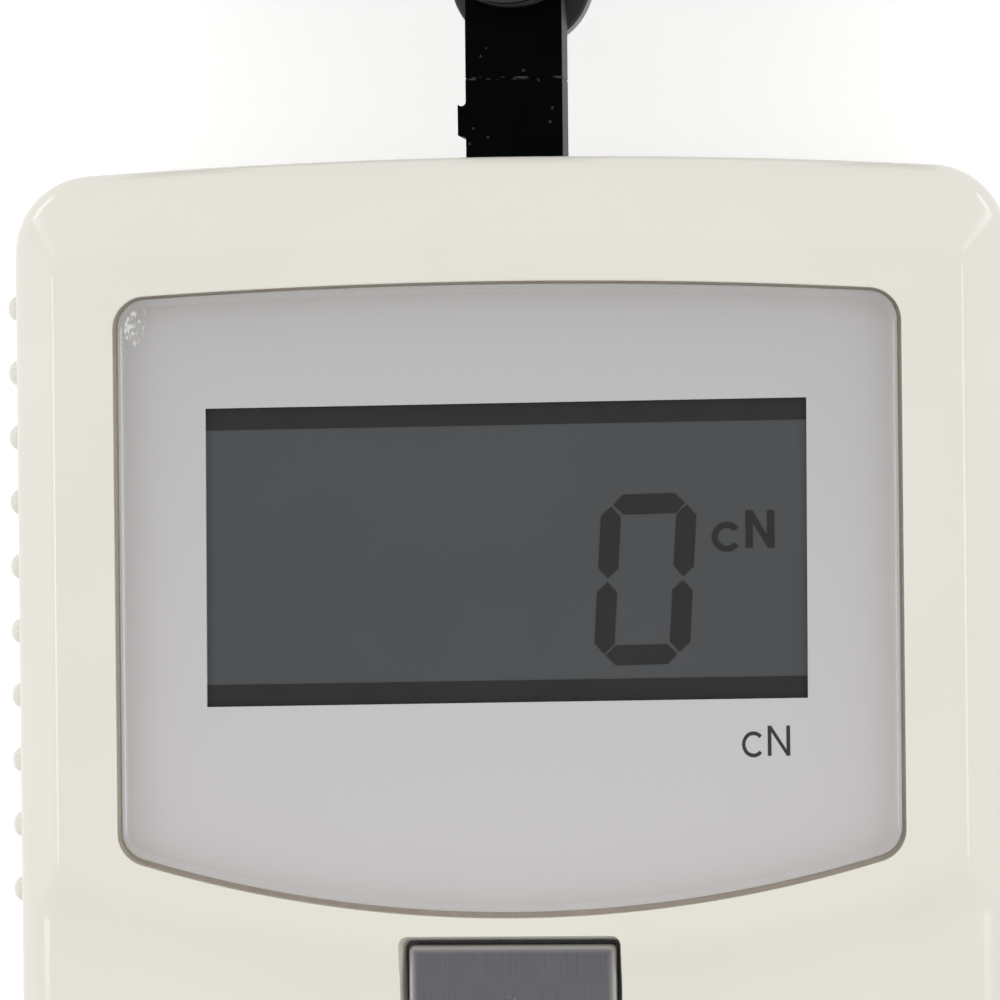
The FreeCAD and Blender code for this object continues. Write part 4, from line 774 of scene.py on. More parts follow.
def head_slot():
    """The way out of the top wall for the measuring arm and the carriage stem."""
    room, low_y, high_y = 0.5, TOP_Y - 8.8, TOP_Y + 1
    arm_half = 4.68
    arm_high = span("roller_arm")[1].z + room
    stem_half, stem_low = STEM_HALF + room, span("carriage_plate")[0].z - room
    way = block("arm_way", (-arm_half, low_y, PARTING_Z - 0.01), (arm_half, high_y, arm_high))
    stem = block("stem_way", (-stem_half, low_y, stem_low), (stem_half, high_y, PARTING_Z))
    return combine(way, stem, "UNION")


def slider_slot():
    """The way through the right wall for the thumb slider's neck and its travel."""
    middle = middle_of("thumb_slider").y
    return block("slider_way", (HOUSING_HALF - 4.4, middle - 4.5, PARTING_Z - 3),
                 (HOUSING_HALF + 1, middle + 13, PARTING_Z + 3))


def columns_at(places, radius, low, high):
    """Round columns of one size at several places."""
    side = [(radius, low), (radius, high)]
    return joined("columns", [lathe("column", side, (x, y, 0), 24) for x, y in places])


def front_cover(material):
    """Front half of the housing with its window, key wells, studs and screw bosses."""
    rings = front_rings()
    cover = shell("front_cover_moulding", rings, rings[-1], rings[0])
    combine(cover, flared_cutter("window", window_outline, PANEL_BACK_Z, RIM_R))
    half, up, down = APERTURE
    outline = rounded_rectangle((0, WINDOW_Y + (up - down) / 2), half, (up + down) / 2, 2)
    combine(cover, prism("aperture", [raised(outline, BOARD_FRONT_Z), raised(outline, PANEL_BACK_Z + 0.5)]))
    for node in KEYS:
        combine(cover, well_cutter(node))
    combine(cover, head_slot())
    combine(cover, slider_slot())
    roof = FACE_Z - ROOF + 0.5
    combine(cover, columns_at(both_sides(BOSS_PLACES), BOSS_NECK_R, PARTING_Z, roof), "UNION")
    combine(cover, columns_at(both_sides(POST_PLACES), 2.4, BOARD_FRONT_Z, roof), "UNION")
    combine(cover, side_domes(FRONT_STUDS), "UNION")
    return done(cover, material, "housing", "housing_plastic", "front_cover")


def back_edge(start_z):
    """Rings of the rounded edge of the back, from a height down to the level back face."""
    rings = []
    first = math.degrees(math.asin(1 - start_z / BACK_EDGE_R))
    for step in range(9):
        a = math.radians(first + (90 - first) * step / 8)
        rings.append((BACK_EDGE_R * (1 - math.cos(a)), BACK_EDGE_R * (1 - math.sin(a))))
    return rings


def door_way(gap):
    """T-shaped way of the battery cover, open at the end of the handle."""
    top = DOOR_TOP_Y - gap
    end = -TOP_Y - 5
    high = DOOR_CHANNEL_Z - gap
    plate = block("way", (-DOOR_HALF + gap, end, -1), (DOOR_HALF - gap, top, high))
    wing = DOOR_HALF + DOOR_WING - gap
    return combine(plate, block("wings", (-wing, end, DOOR_LIP + gap), (wing, top, high)), "UNION")


def level_box(half, low_y, high_y, z):
    """A rectangle across the middle at one height."""
    return raised([(-half, low_y), (half, low_y), (half, high_y), (-half, high_y)], z)


def battery_tub():
    """Walls about the cells and the pad that the cover slides in, kept inside the housing."""
    pad_half = DOOR_HALF + DOOR_WING + TUB_WALL
    pad = block("pad", (-pad_half, -TOP_Y, FLOOR - 0.5),
                (pad_half, DOOR_TOP_Y + TUB_WALL, DOOR_CHANNEL_Z + 1.7))
    wall = Vector((TUB_WALL,) * 3)
    low, high = Vector(TUB_LOW) - wall, Vector(TUB_HIGH) + wall
    low.z = FLOOR - 0.5
    tub = combine(pad, block("tub", low, high), "UNION")
    inside = closed(drawn_in(WALL / 2))
    return combine(tub, prism("inside", [raised(inside, 0.5), raised(inside, PARTING_Z)]), "INTERSECT")


def screw_recess(x, y):
    """Stepped hole for a housing screw, with a rounded mouth."""
    mouth = SCREW_HEAD_R + 0.3
    profile = [(SCREW_R + 0.1, PARTING_Z + 1), (SCREW_R + 0.1, BOSS_SEAT_Z), (mouth, BOSS_SEAT_Z),
               (mouth, 0.45), (mouth + 0.13, 0.13), (mouth + 0.45, 0), (mouth + 0.45, -1)]
    return lathe("recess", profile, (x, y, 0), 32)


def rear_cover(material):
    """Back half of the housing with the battery bay, the cover's way, studs and screw recesses."""
    rings = rear_rings()
    cover = shell("rear_cover_moulding", rings, rings[-1], rings[0])
    combine(cover, battery_tub(), "UNION")
    places = both_sides(BOSS_PLACES)
    combine(cover, columns_at(places, BOSS_R, FLOOR - 0.5, BOSS_SEAT_Z + TUB_WALL), "UNION")
    combine(cover, columns_at(places, BOSS_NECK_R, FLOOR, PARTING_Z), "UNION")
    combine(cover, door_way(0.0))
    mouth = 0.3
    combine(cover, prism("mouth", [level_box(DOOR_HALF - 0.2, -TOP_Y - 5, DOOR_TOP_Y - 0.2, mouth + 0.2),
                                   level_box(DOOR_HALF + 0.8, -TOP_Y - 5, DOOR_TOP_Y + 0.8, mouth - 0.8)]))
    combine(cover, block("cells", TUB_LOW, TUB_HIGH))
    for x, y in places:
        combine(cover, screw_recess(x, y))
    combine(cover, head_slot())
    combine(cover, slider_slot())
    combine(cover, side_domes(BACK_STUDS), "UNION")
    return done(cover, material, "housing", "housing_plastic", "rear_cover")


def battery_cover(material):
    """Sliding cover whose end wraps the handle's end, with five thumb grooves."""
    top = span("battery_cover")[1].z
    rings = [raised(closed(drawn_in(margin)), z) for margin, z in back_edge(top)]
    door = combine(prism("battery_cover_slide", rings), door_way(DOOR_GAP), "INTERSECT")
    eased(door, 0.25, 3)
    first, pitch, rows = 8.0, 2.4, 5
    profile = [(0.12, -9.0), (0.42, -8.85), (0.6, -8.4), (0.6, 8.4), (0.42, 8.85), (0.12, 9.0)]
    grooves = [lathe("groove", profile, (0, DOOR_TOP_Y - first - pitch * row, 0), 24, "X")
               for row in range(rows)]
    combine(door, joined("grooves", grooves))
    return done(door, material, "battery_door", "housing_plastic", "battery_cover")


def housing_screws(material):
    """Pan-head screws with a cross recess, seen at the bottom of the holes in the back."""
    low, high = span("housing_screws")
    length, arm_l, arm_w = high.z - low.z, 1.45, 0.3
    profile = [(1.5, 0), (2.05, 0.12), (2.4, 0.45), (SCREW_HEAD_R, 0.95), (SCREW_HEAD_R, 1.5), (SCREW_R, 2.0),
               (SCREW_R, length - 1.5), (0.3, length)]
    cross = [(arm_l, -arm_w), (arm_l, arm_w), (arm_w, arm_w), (arm_w, arm_l),
             (-arm_w, arm_l), (-arm_w, arm_w), (-arm_l, arm_w), (-arm_l, -arm_w),
             (-arm_w, -arm_w), (-arm_w, -arm_l), (arm_w, -arm_l), (arm_w, -arm_w)]
    screws = []
    for x, y in both_sides(BOSS_PLACES):
        screw = lathe("screw", profile, (x, y, low.z), 32)
        rings = [[(x + u * share, y + v * share, low.z + z) for u, v in cross]
                 for z, share in ((-0.3, 1.0), (0.15, 0.98), (1.2, 0.45))]
        screws.append(combine(screw, prism("cross", rings)))
    return done(joined("housing_cross_screws", screws), material, "housing", "screw_steel", "housing_screws")


def set_high(margin):
    """Window outline of a sheet that sits a little high in its window."""
    return [(x, y + LENS_RAISE) for x, y in window_outline(margin)]


def display_lens(material):
    """Clear sheet over the display, with a rounded front edge."""
    edge_w, edge_h = 0.9, 0.5
    rings = [raised(set_high(WINDOW_GAP + 0.15), LENS_BACK_Z + PANEL_GAP),
             raised(set_high(WINDOW_GAP), LENS_BACK_Z + 0.15)]
    for step in range(7):
        a = math.radians(90 * step / 6)
        rings.append(raised(set_high(WINDOW_GAP + edge_w * (1 - math.cos(a))),
                            LENS_FRONT_Z - edge_h * (1 - math.sin(a))))
    lens = prism("display_lens_sheet", rings)
    return done(lens, material, "housing", "clear_acrylic", "display_lens")


def display_point(u, v):
    """A point of the display from its middle, in its own level and upright directions."""
    tilt, lean = math.radians(DISPLAY_TILT), math.radians(DISPLAY_LEAN)
    x = DISPLAY_MIDDLE[0] + u * math.cos(tilt) + v * math.sin(lean)
    y = DISPLAY_MIDDLE[1] + u * math.sin(tilt) + v * math.cos(lean)
    return x, y


def display_panel(material):
    """The printed panel behind the lens, with its opening for the display."""
    outline = set_high(WINDOW_GAP)
    panel = prism("display_panel_sheet", [raised(outline, PANEL_BACK_Z), raised(outline, LENS_BACK_Z)])
    w, h = DISPLAY_SIZE[0] / 2, DISPLAY_SIZE[1] / 2
    opening = [display_point(-w, -h), display_point(w, -h), display_point(w, h), display_point(-w, h)]
    combine(panel, prism("opening", [raised(opening, PANEL_BACK_Z - 1), raised(opening, LENS_BACK_Z + 1)]))
    return done(panel, material, "housing", "printed_panel", "display_panel")


# Figures on the display, as offsets from the middle of the window
DIGIT_CORNER = (7.9, -4.82)
DIGIT_SIZE = (6.39, 12.75)
DIGIT_SLANT = 0.06
DIGIT_TILT = 0.018
SEGMENT_WIDTH = 1.68
SEGMENT_GAP = 0.17


def bar_outline(start, end, width, gap):
    """A bar with pointed ends between two corners of a digit."""
    along = Vector((end[0] - start[0], end[1] - start[1])).normalized()
    across = Vector((-along.y, along.x)) * width / 2
    a = Vector(start) + along * gap
    b = Vector(end) - along * gap
    point = along * width / 2
    return [tuple(p) for p in (a, a + point - across, b - point - across, b, b - point + across,
                               a + point + across)]


def digit_zero():
    """Outlines of the six lit bars of a nought."""
    w, h = DIGIT_SIZE

    def corner(u, v):
        x = DIGIT_CORNER[0] + u * w + v * h * DIGIT_SLANT
        return x, WINDOW_Y + DIGIT_CORNER[1] + v * h + u * w * DIGIT_TILT
    pairs = [((0, 0), (1, 0)), ((0, 0), (0, 0.5)), ((1, 0), (1, 0.5)), ((0, 0.5), (0, 1)), ((1, 0.5), (1, 1)),
             ((0, 1), (1, 1))]
    return [bar_outline(corner(*a), corner(*b), SEGMENT_WIDTH, SEGMENT_GAP) for a, b in pairs]


def letter_c(centre, radius, stroke, opening, tall=1.0):
    """The outline of a small c: a ring with an opening, drawn taller than it is wide if need be."""
    end, inside = 360 - opening, radius - stroke
    outer = arc(centre, radius, opening, end, 24) + arc(centre, radius, end, end + 1, 1)
    inner = arc(centre, inside, end, opening, 24) + arc(centre, inside, opening, opening + 1, 1)
    return [(x, centre[1] + (y - centre[1]) * tall) for x, y in outer + inner]


def letter_n(corner, width, height, stroke):
    """The outline of a capital N from its lower left corner."""
    x, y = corner
    slope = stroke * 1.25
    return [(x, y), (x + stroke, y), (x + stroke, y + height - slope * 1.35), (x + width - stroke * 0.95, y),
            (x + width, y), (x + width, y + height), (x + width - stroke, y + height),
            (x + width - stroke, y + slope * 1.35), (x + stroke * 0.95, y + height), (x, y + height)]


def flat_figures(name, outlines, low, high):
    """Thin flat shapes between two heights, as one piece."""
    return joined(name, [prism("figure", [raised(o, low), raised(o, high)]) for o in outlines])


def display_glass(glass, figure):
    """The display's glass with its two dark bars, the digit and the unit beside it."""
    low, high = span("lcd_glass")
    sheet = eased(block("lcd_glass_sheet", low, high), 0.15)
    done(sheet, glass, "housing", "lcd_glass", "lcd_glass")
    w, h = DISPLAY_SIZE[0] / 2, DISPLAY_SIZE[1] / 2
    bars = [[display_point(-w, v), display_point(w, v), display_point(w, v + BAR_HEIGHT),
             display_point(-w, v + BAR_HEIGHT)] for v in (-h, h - BAR_HEIGHT)]
    top = high.z + FIGURE_RAISE
    done(flat_figures("display_border_bars", bars, high.z, top), figure, "housing", "lcd_glass")
    letters = [letter_c((18.4, WINDOW_Y + 5.13), 1.26, 0.5, 38),
               letter_n((20.0, WINDOW_Y + 4.2), 2.42, 3.15, 0.6)]
    done(flat_figures("display_figures", digit_zero() + letters, high.z, top), figure, "housing", "lcd_glass")


def printed_unit(ink):
    """The unit printed on the panel below the display."""
    letters = [letter_c((20.5, WINDOW_Y - 12.4), 0.97, 0.29, 42, 1.14),
               letter_n((21.7, WINDOW_Y - 13.38), 1.9, 2.55, 0.32)]
    unit = flat_figures("printed_unit_mark", letters, LENS_BACK_Z - 0.02, LENS_BACK_Z + 0.01)
    done(unit, ink, "housing", "printed_panel")


def key_cap(node, material):
    """A cap with rounded corners, a soft sloping rim, a flange under the roof and a foot."""
    middle, half_w, half_h, top = key_shape(node)
    low, high = span(node)

    def outline(margin):
        return rounded_rectangle((middle.x, middle.y), half_w - margin, half_h - margin,
                                 max(KEY_CORNER_R - margin, 0.15), 5)
    rings = [raised(outline(0), low.z + 1.3)]
    for margin, drop in ((0, 0.34), (0.04, 0.2), (0.12, 0.11), (0.3, 0.05), (0.6, 0.015), (0.9, 0.0)):
        rings.append(raised(outline(margin), top - drop))
    cap = prism(node + "_cap", rings)
    flange = block("flange", (low.x, low.y, low.z + 0.5), (high.x, high.y, low.z + 1.3))
    foot = lathe("foot", [(2.4, 0), (2.4, 0.5)], (middle.x, middle.y, low.z), 24)
    cap = joined(node + "_cap", [cap, eased(flange, 0.1, 1), foot])
    return done(cap, material, button_of(node), "key_plastic", node)


def button_of(node):
    """The body that carries a key."""
    return node.replace("key", "button")


def legend(node, text, ink):
    """A printed word on a key, as a thin film."""
    middle, _, _, top = key_shape(node)
    deselect()
    bpy.ops.object.text_add(location=(middle.x, middle.y, top - 0.005))
    word = bpy.context.object
    word.data.body = text
    word.data.size = 3.3
    word.data.extrude = 0.01
    word.data.align_x, word.data.align_y = "CENTER", "CENTER"
    bpy.ops.object.convert(target="MESH")
    bpy.ops.object.transform_apply(location=True, rotation=True, scale=True)
    word = bpy.context.object
    word.name = node + "_legend"
    done(word, ink, button_of(node), "key_plastic")


def power_mark(node, ink):
    """The open ring and bar that stand for on and off."""
    middle, _, _, top = key_shape(node)
    x, y = middle.x, middle.y - 0.4
    ring = arc((x, y), 2.3, 122, 418, 36) + arc((x, y), 1.9, 418, 122, 36)
    bar = [(x - 0.2, y + 0.5), (x + 0.2, y + 0.5), (x + 0.2, y + 2.7), (x - 0.2, y + 2.7)]
    mark = flat_figures(node + "_mark", [ring, bar], top - 0.01, top + 0.01)
    done(mark, ink, button_of(node), "key_plastic")


def arm(material):
    """The measuring arm: a base bar with a notched stop lug, and the round-ended bar that meets it."""
    low, high = span("arm_base")
    half = high.x
    lug_low, lug_high, reach, notch = TOP_Y + 2.0, TOP_Y + 4.9, 0.7, 0.38
    outline = [(-half, low.y), (half, low.y), (half, high.y), (-half, high.y)]
    outline += arc((-half - notch, lug_high + 0.22), notch, 0, -140, 8)
    outline += [(-half - reach, lug_high), (-half - reach, lug_low + 0.2), (-half, lug_low)]
    base = prism("arm_base_bar", [raised(outline, low.z), raised(outline, high.z)])
    eased(base, 0.12)
    done(base, material, "measuring_arm", "black_anodised", "arm_base")
    low, high = span("roller_arm")
    outline = [(-half, low.y), (half, low.y)] + arc((0, high.y - half), half, 0, 180, 32)
    outline += [(-half, high.y - half)]
    top = prism("roller_arm_bar", [raised(outline, low.z), raised(outline, high.z)])
    eased(top, 0.12)
    done(top, material, "measuring_arm", "black_anodised", "roller_arm")


def carriage_outline():
    """Right half of the carriage plate: foot, stem, round hub, rising bar and the dip between the bars."""
    low = span("carriage_plate")[0]
    axle = middle_of("right_roller")
    foot_half, foot = 12.0, low.y + 7.0
    hub, end = Vector((0, HUB_Y)), Vector((axle.x, axle.y))
    stem_angle = -math.degrees(math.acos(STEM_HALF / HUB_R))
    lean = math.radians(BAR_ROOT_ANGLE)
    root = hub + HUB_R * Vector((math.cos(lean), math.sin(lean)))
    reach = end - root
    slope = math.atan2(reach.y, reach.x) - math.asin(BAR_END_R / reach.length)
    upper = end + BAR_END_R * Vector((-math.sin(slope), math.cos(slope)))
    valley = upper.y - upper.x * math.tan(slope) + BAR_VALLEY_R / math.cos(slope)
    slope = math.degrees(slope)
    points = [(0.0, low.y), (foot_half, low.y), (foot_half, foot), (STEM_HALF, foot)]
    points += arc(hub, HUB_R, stem_angle, BAR_ROOT_ANGLE, 14) + [tuple(root)]
    points += arc(end, BAR_END_R, slope - 90, 90 + slope, 32) + [tuple(upper)]
    return points + arc((0, valley), BAR_VALLEY_R, -90 + slope, -90, 10) + [(0.0, valley - BAR_VALLEY_R)]


def carriage_plate(material):
    """Machined plate with softly broken edges, bored for the two outer axles."""
    low, high = span("carriage_plate")
    outline = closed(carriage_outline())
    plate = prism("carriage_plate_milled", [raised(outline, low.z), raised(outline, high.z)])
    eased(plate, 0.25, 3, 50)
    profile = [(AXLE_R + 0.5, low.z - 0.3), (AXLE_R + 0.2, low.z), (AXLE_R, low.z + 0.2),
               (AXLE_R, high.z + 1)]
    for side in ("left", "right"):
        axle = middle_of(side + "_roller")
        combine(plate, lathe("bore", profile, (axle.x, axle.y, 0), 32))
    return done(plate, material, "carriage", "grey_anodised", "carriage_plate")


def mirrored_profile(half):
    """A ring profile that is the same at both faces, from the lower half of it."""
    return half + [(radius, -z) for radius, z in reversed(half)]


def wheel(side, body, roller_finish, ring_finish):
    """Grooved roller with rounded rims, dished faces and a shielded bearing."""
    low, high = span(side + "_roller")
    middle = (low + high) / 2
    radius, half = (high.x - low.x) / 2, (high.z - low.z) / 2
    floor = radius - 2.2
    rim = [(BEARING_R, 0.12 - half), (BEARING_R + 0.12, -half), (3.7, -half), (3.95, 0.18 - half),
           (4.1, 0.3 - half), (5.5, 0.3 - half), (5.65, 0.18 - half), (5.85, -half), (radius - 0.3, -half),
           (radius - 0.09, 0.09 - half), (radius, 0.3 - half), (radius, 0.5 - half),
           (radius - 0.05, 0.64 - half), (radius - 0.16, 0.76 - half), (radius - 1.87, -0.7),
           (radius - 2.02, -0.52), (floor + 0.06, -0.28), (floor, -0.06)]
    roller = ring_lathe(side + "_grooved_roller", mirrored_profile(rim), middle, 72)
    done(roller, roller_finish, body, "roller_black", side + "_roller")
    low, high = span(side + "_outer_ring")
    half = (high.z - low.z) / 2
    inside = BEARING_R - RING_WALL
    race = [(inside, -half + 0.1), (inside + 0.1, -half), (BEARING_R - 0.1, -half), (BEARING_R, -half + 0.1)]
    lip, shield_in, shield_out = inside - 0.33, -half + 0.45, -half + 0.25
    shield = [(lip, shield_in), (lip, shield_out), (inside, shield_out), (inside, shield_in)]
    rings = [ring_lathe("race", mirrored_profile(race), middle, 48)]
    for side_z in (-1, 1):
        rings.append(ring_lathe("shield", [(r, side_z * z) for r, z in shield], middle, 48))
    done(joined(side + "_bearing_race", rings), ring_finish, body, "bearing_steel", side + "_outer_ring")


def inner_race(side, body, material):
    """Inner bearing ring that stays with the axle."""
    low, high = span(side + "_inner_ring")
    half = (high.z - low.z) / 2
    outside = AXLE_R + RING_WALL
    race = [(AXLE_R, -half + 0.1), (AXLE_R + 0.1, -half), (outside - 0.1, -half), (outside, -half + 0.1)]
    ring = ring_lathe(side + "_bearing_inner_race", mirrored_profile(race), (low + high) / 2, 40)
    done(ring, material, body, "bearing_steel", side + "_inner_ring")


def axle_screw(side, body, material):
    """Shoulder screw with a finely knurled head and a hexagon socket."""
    low, high = span(side + "_axle_screw")
    middle = (low + high) / 2
    seat = high.z - AXLE_HEAD
    side_line = [(AXLE_R - 0.25, low.z), (AXLE_R - 0.01, low.z + 0.25), (AXLE_R - 0.01, seat + 0.2)]
    shank = lathe("shank", side_line, (middle.x, middle.y, 0), 40)

    def cornered(radii, z):
        turns = [2 * math.pi * i / len(radii) for i in range(len(radii))]
        return [(middle.x + r * math.cos(a), middle.y + r * math.sin(a), z) for r, a in zip(radii, turns)]

    teeth, tooth, across = 36, 0.07, 1.2
    rings = []
    for inset, z in ((0.12, seat), (0.0, seat + 0.12), (0.0, high.z - 0.35), (0.1, high.z - 0.1),
                     (0.35, high.z)):
        rings.append(cornered([AXLE_HEAD_R - inset - tooth * (i % 2) * (inset < 0.2)
                               for i in range(2 * teeth)], z))
    head = prism("head", rings)
    rings = [cornered([radius] * 6, high.z + rise) for radius, rise in (
        (across * 0.95, -0.85), (across, -0.7), (across, -0.12), (across + 0.3, 0.2))]
    combine(head, prism("socket", rings))
    screw = joined(side + "_socket_head_screw", [shank, head])
    done(screw, material, body, "screw_steel", side + "_axle_screw")


def post(side, material):
    """Standing sleeve with broken edges and a turned neck."""
    low, high = span(side + "_post")
    middle = (low + high) / 2
    radius, neck, neck_z = (high.x - low.x) / 2, 2.0, high.z - 0.8
    profile = [(AXLE_R, low.z), (radius - 0.25, low.z), (radius, low.z + 0.25), (radius, neck_z - 0.35),
               (radius - 0.12, neck_z - 0.1), (radius - 0.4, neck_z), (neck, neck_z), (neck, high.z - 0.08),
               (neck - 0.08, high.z), (AXLE_R, high.z)]
    sleeve = ring_lathe(side + "_standing_sleeve", profile, (middle.x, middle.y, 0), 56)
    done(sleeve, material, "carriage", "black_anodised", side + "_post")


def spacer(material):
    """Washer between the arm and the centre roller."""
    low, high = span("centre_spacer")
    middle = (low + high) / 2
    radius, edge = (high.x - low.x) / 2, 0.08
    profile = [(AXLE_R, low.z), (radius - edge, low.z), (radius, low.z + edge), (radius, high.z - edge),
               (radius - edge, high.z), (AXLE_R, high.z)]
    washer = ring_lathe("centre_spacer_washer", profile, (middle.x, middle.y, 0), 40)
    done(washer, material, "measuring_arm", "screw_steel", "centre_spacer")


def thumb_slider(material):
    """Thumb pad with four rounded grooves, and the neck that reaches the strap."""
    low, high = span("thumb_slider")
    pad_x = HOUSING_HALF + 0.25
    middle_y = (low.y + high.y) / 2
    steps = 72
    outline = [(pad_x, high.y), (pad_x, low.y)]
    for i in range(steps + 1):
        y = low.y + (high.y - low.y) * i / steps
        away = min(abs(y - middle_y - (row - 1.5) * 2.6) for row in range(4))
        dip = 0.3 * (1 + math.cos(math.pi * min(away / 0.95, 1)))
        end = max(1.2 - min(y - low.y, high.y - y), 0)
        outline.append((high.x - dip - (1.2 - math.sqrt(1.44 - end ** 2)), y))
    pad = prism("thumb_slider_pad", [raised(outline, low.z), raised(outline, high.z)])
    eased(pad, 0.55, 4, 60)
    neck_low, neck_high = PARTING_Z - 2.75, PARTING_Z + 2.75
    near, far, strap_z = middle_y - 4, middle_y + 4, span("slide_link")[1].z
    neck = eased(block("neck", (low.x, near, neck_low), (pad_x + 0.5, far, neck_high)), 0.2)
    foot = eased(block("foot", (low.x, near, strap_z), (low.x + 6, far, neck_low + 0.3)), 0.2)
    slider = joined("thumb_slider_ribbed", [pad, neck, foot])
    done(slider, material, "carriage", "black_plastic", "thumb_slider")


def camera():
    """The photograph's view: from a little to the right of straight above, through a long lens."""
    data = bpy.data.cameras.new("camera")
    eye = bpy.data.objects.new("camera", data)
    bpy.context.scene.collection.objects.link(eye)
    turn, roll = math.radians(5.0), math.radians(-0.6)
    back = Vector((math.sin(turn), 0, math.cos(turn)))
    right = Vector((0, 1, 0)).cross(back).normalized()
    up = back.cross(right)
    across = right * math.cos(roll) + up * math.sin(roll)
    upright = up * math.cos(roll) - right * math.sin(roll)
    basis = Matrix((across, upright, back)).transposed().to_4x4()
    eye.matrix_world = Matrix.Translation(Vector((51.744, 61.838, 636.717)) * MM) @ basis
    data.lens = 256.2278
    data.sensor_width = 36
    data.clip_start, data.clip_end = 0.01, 20
    data.dof.use_dof = False
    bpy.context.scene.camera = eye


def softbox(name, place, aim, size, power):
    """A rectangular soft lamp that faces a point."""
    data = bpy.data.lights.new(name, "AREA")
    data.shape = "RECTANGLE"
    data.size, data.size_y = size
    data.energy = power
    lamp = bpy.data.objects.new(name, data)
    bpy.context.scene.collection.objects.link(lamp)
    lamp.location = place
    lamp.rotation_euler = (Vector(aim) - Vector(place)).to_track_quat("-Z", "Y").to_euler()


def background_rays(tree):
    """One for the rays that show the surround: to the camera, in gloss and through glass."""
    path = add(tree, "ShaderNodeLightPath").outputs
    seen = path["Is Camera Ray"]
    for other in ("Is Glossy Ray", "Is Transmission Ray"):
        seen = add(tree, "ShaderNodeMath", {"operation": "MAXIMUM"}, {0: seen, 1: path[other]}).outputs[0]
    return seen


def stage():
    """Pale floor, soft light and a white surround for the camera and for reflections."""
    deselect()
    bpy.ops.mesh.primitive_plane_add(size=6, location=(0, 0, 0))
    floor = bpy.context.object
    floor.name = "floor"
    material, tree = new_material("floor_pale")
    glow = add(tree, "ShaderNodeMath", {"operation": "MULTIPLY"}, {0: background_rays(tree), 1: 0.45})
    shader = add(tree, "ShaderNodeBsdfPrincipled", None, {
        "Base Color": linear("#e6e6e6"), "Roughness": 0.9, "Emission Color": linear(WHITE),
        "Emission Strength": glow.outputs[0]})
    finished(tree, shader.outputs["BSDF"])
    floor.data.materials.append(material)
    world = bpy.data.worlds.new("surround")
    bpy.context.scene.world = world
    world.use_nodes = True
    tree = world.node_tree
    tree.nodes.clear()
    soft = add(tree, "ShaderNodeBackground", None, {"Color": linear(WHITE), "Strength": 0.9})
    white = add(tree, "ShaderNodeBackground", None, {"Color": linear(WHITE), "Strength": 1.0})
    mix = add(tree, "ShaderNodeMixShader", None, {
        0: background_rays(tree), 1: soft.outputs[0], 2: white.outputs[0]})
    add(tree, "ShaderNodeOutputWorld", None, {"Surface": mix.outputs[0]})
    aim, upright, flat = (0, 0.03, 0), (0.2, 0.4), (0.45, 0.16)
    softbox("left", (-1.03, 0.05, 0.7), aim, upright, 1.0)
    softbox("right", (1.05, 0.05, 0.7), aim, upright, 0.75)
    softbox("left_head", (-0.888, 0.888, 0.135), aim, flat, 0.95)
    softbox("right_head", (0.929, 0.81, 0.24), aim, flat, 0.95)


def moulded_black():
    """Moulded black plastic: a fine satin grain that keeps ribs and edges readable."""
    return coated("moulded_abs_black_satin", "#18191a", "#202123", 3, 0.38, 0.25, 0.14)


def solder_mask():
    """Solder mask: green lacquer, glossy over the board's weave."""
    return coated("solder_mask_green", "#1c5537", "#256544", 5, 0.28, 0.5, 0.1)


def silicone_rubber():
    """Silicone rubber: soft grey with hardly any gloss."""
    return coated("silicone_rubber_grey", "#8b8d91", "#96989c", 5, 0.65, 0.3, 0.06)


def cell_wrapper():
    """Shrink film on a cell: smooth dark blue with a tight highlight."""
    return coated("shrink_film_blue", "#263a63", "#2f4676", 8, 0.22, 1.2, 0.04)


def drawn_spring_steel():
    """Drawn spring steel: bright, with fine lines along the wire."""
    return coated("drawn_spring_steel", "#93938f", "#adada9", 1.5, 0.3, 0.1, 0.12,
                  {"Metallic": 1.0}, (1, 20, 1))


def zinc_plate():
    """Zinc plate on screws: bright grey with a light, cloudy shimmer."""
    return coated("zinc_plate_bright", "#8b8c8b", "#a7a8a7", 1.2, 0.27, 0.15, 0.1, {"Metallic": 1.0})


def black_anodise():
    """Black anodised, polished bar: nearly black from above, with a few specks of dirt and a painted
    highlight along the seam.
    """
    material, tree = new_material("polished_black_anodise")
    tone = grain(tree, 6).outputs["Fac"]
    place = add(tree, "ShaderNodeTexCoord").outputs["Object"]
    along = add(tree, "ShaderNodeSeparateXYZ", None, {"Vector": place}).outputs["Y"]
    # Painted highlight: a patchy lighter band along the seam between the two bars, for the light the seam
    # catches.
    seam = span("arm_base")[1].y * MM
    near = add(tree, "ShaderNodeMath", {"operation": "COMPARE"}, {0: along, 1: seam, 2: 0.12 * MM}).outputs[0]
    seam_glints = grain(tree, 0.5, (2, 1, 1), 5.0).outputs["Fac"]
    seam_glints = add(tree, "ShaderNodeMapRange", None, {
        "Value": seam_glints, "From Min": 0.48, "From Max": 0.6, "To Max": 0.75}).outputs["Result"]
    seam_highlight = add(tree, "ShaderNodeMath", {"operation": "MULTIPLY"}, {0: near, 1: seam_glints}).outputs[0]
    colour = blended(tree, specks(tree, 1.3, 0.1, 0.9), varied(tree, tone, "#010203", "#030405"), "#34353a")
    colour = blended(tree, seam_highlight, colour, "#606065")
    gloss = add(tree, "ShaderNodeMapRange", None, {"Value": tone, "To Min": 0.31, "To Max": 0.36})
    shader = add(tree, "ShaderNodeBsdfPrincipled", None, {
        "Base Color": colour, "Roughness": gloss.outputs["Result"], "Specular IOR Level": 0.02})
    finished(tree, shader.outputs["BSDF"])
    return material


def grey_anodise():
    """Hard anodised plate: dark grey, satin, with fine lines from milling."""
    return coated("hard_anodise_grey", "#2c2e31", "#36383b", 4, 0.36, 0.12, 0.2,
                  {"Metallic": 0.35}, (14, 1, 1))


def milled_aluminium():
    """Milled aluminium: pale metal with the cutter's fine lines."""
    return coated("milled_aluminium", "#a3a4a6", "#b5b6b8", 5, 0.34, 0.12, 0.2, {"Metallic": 1.0}, (1, 14, 1))


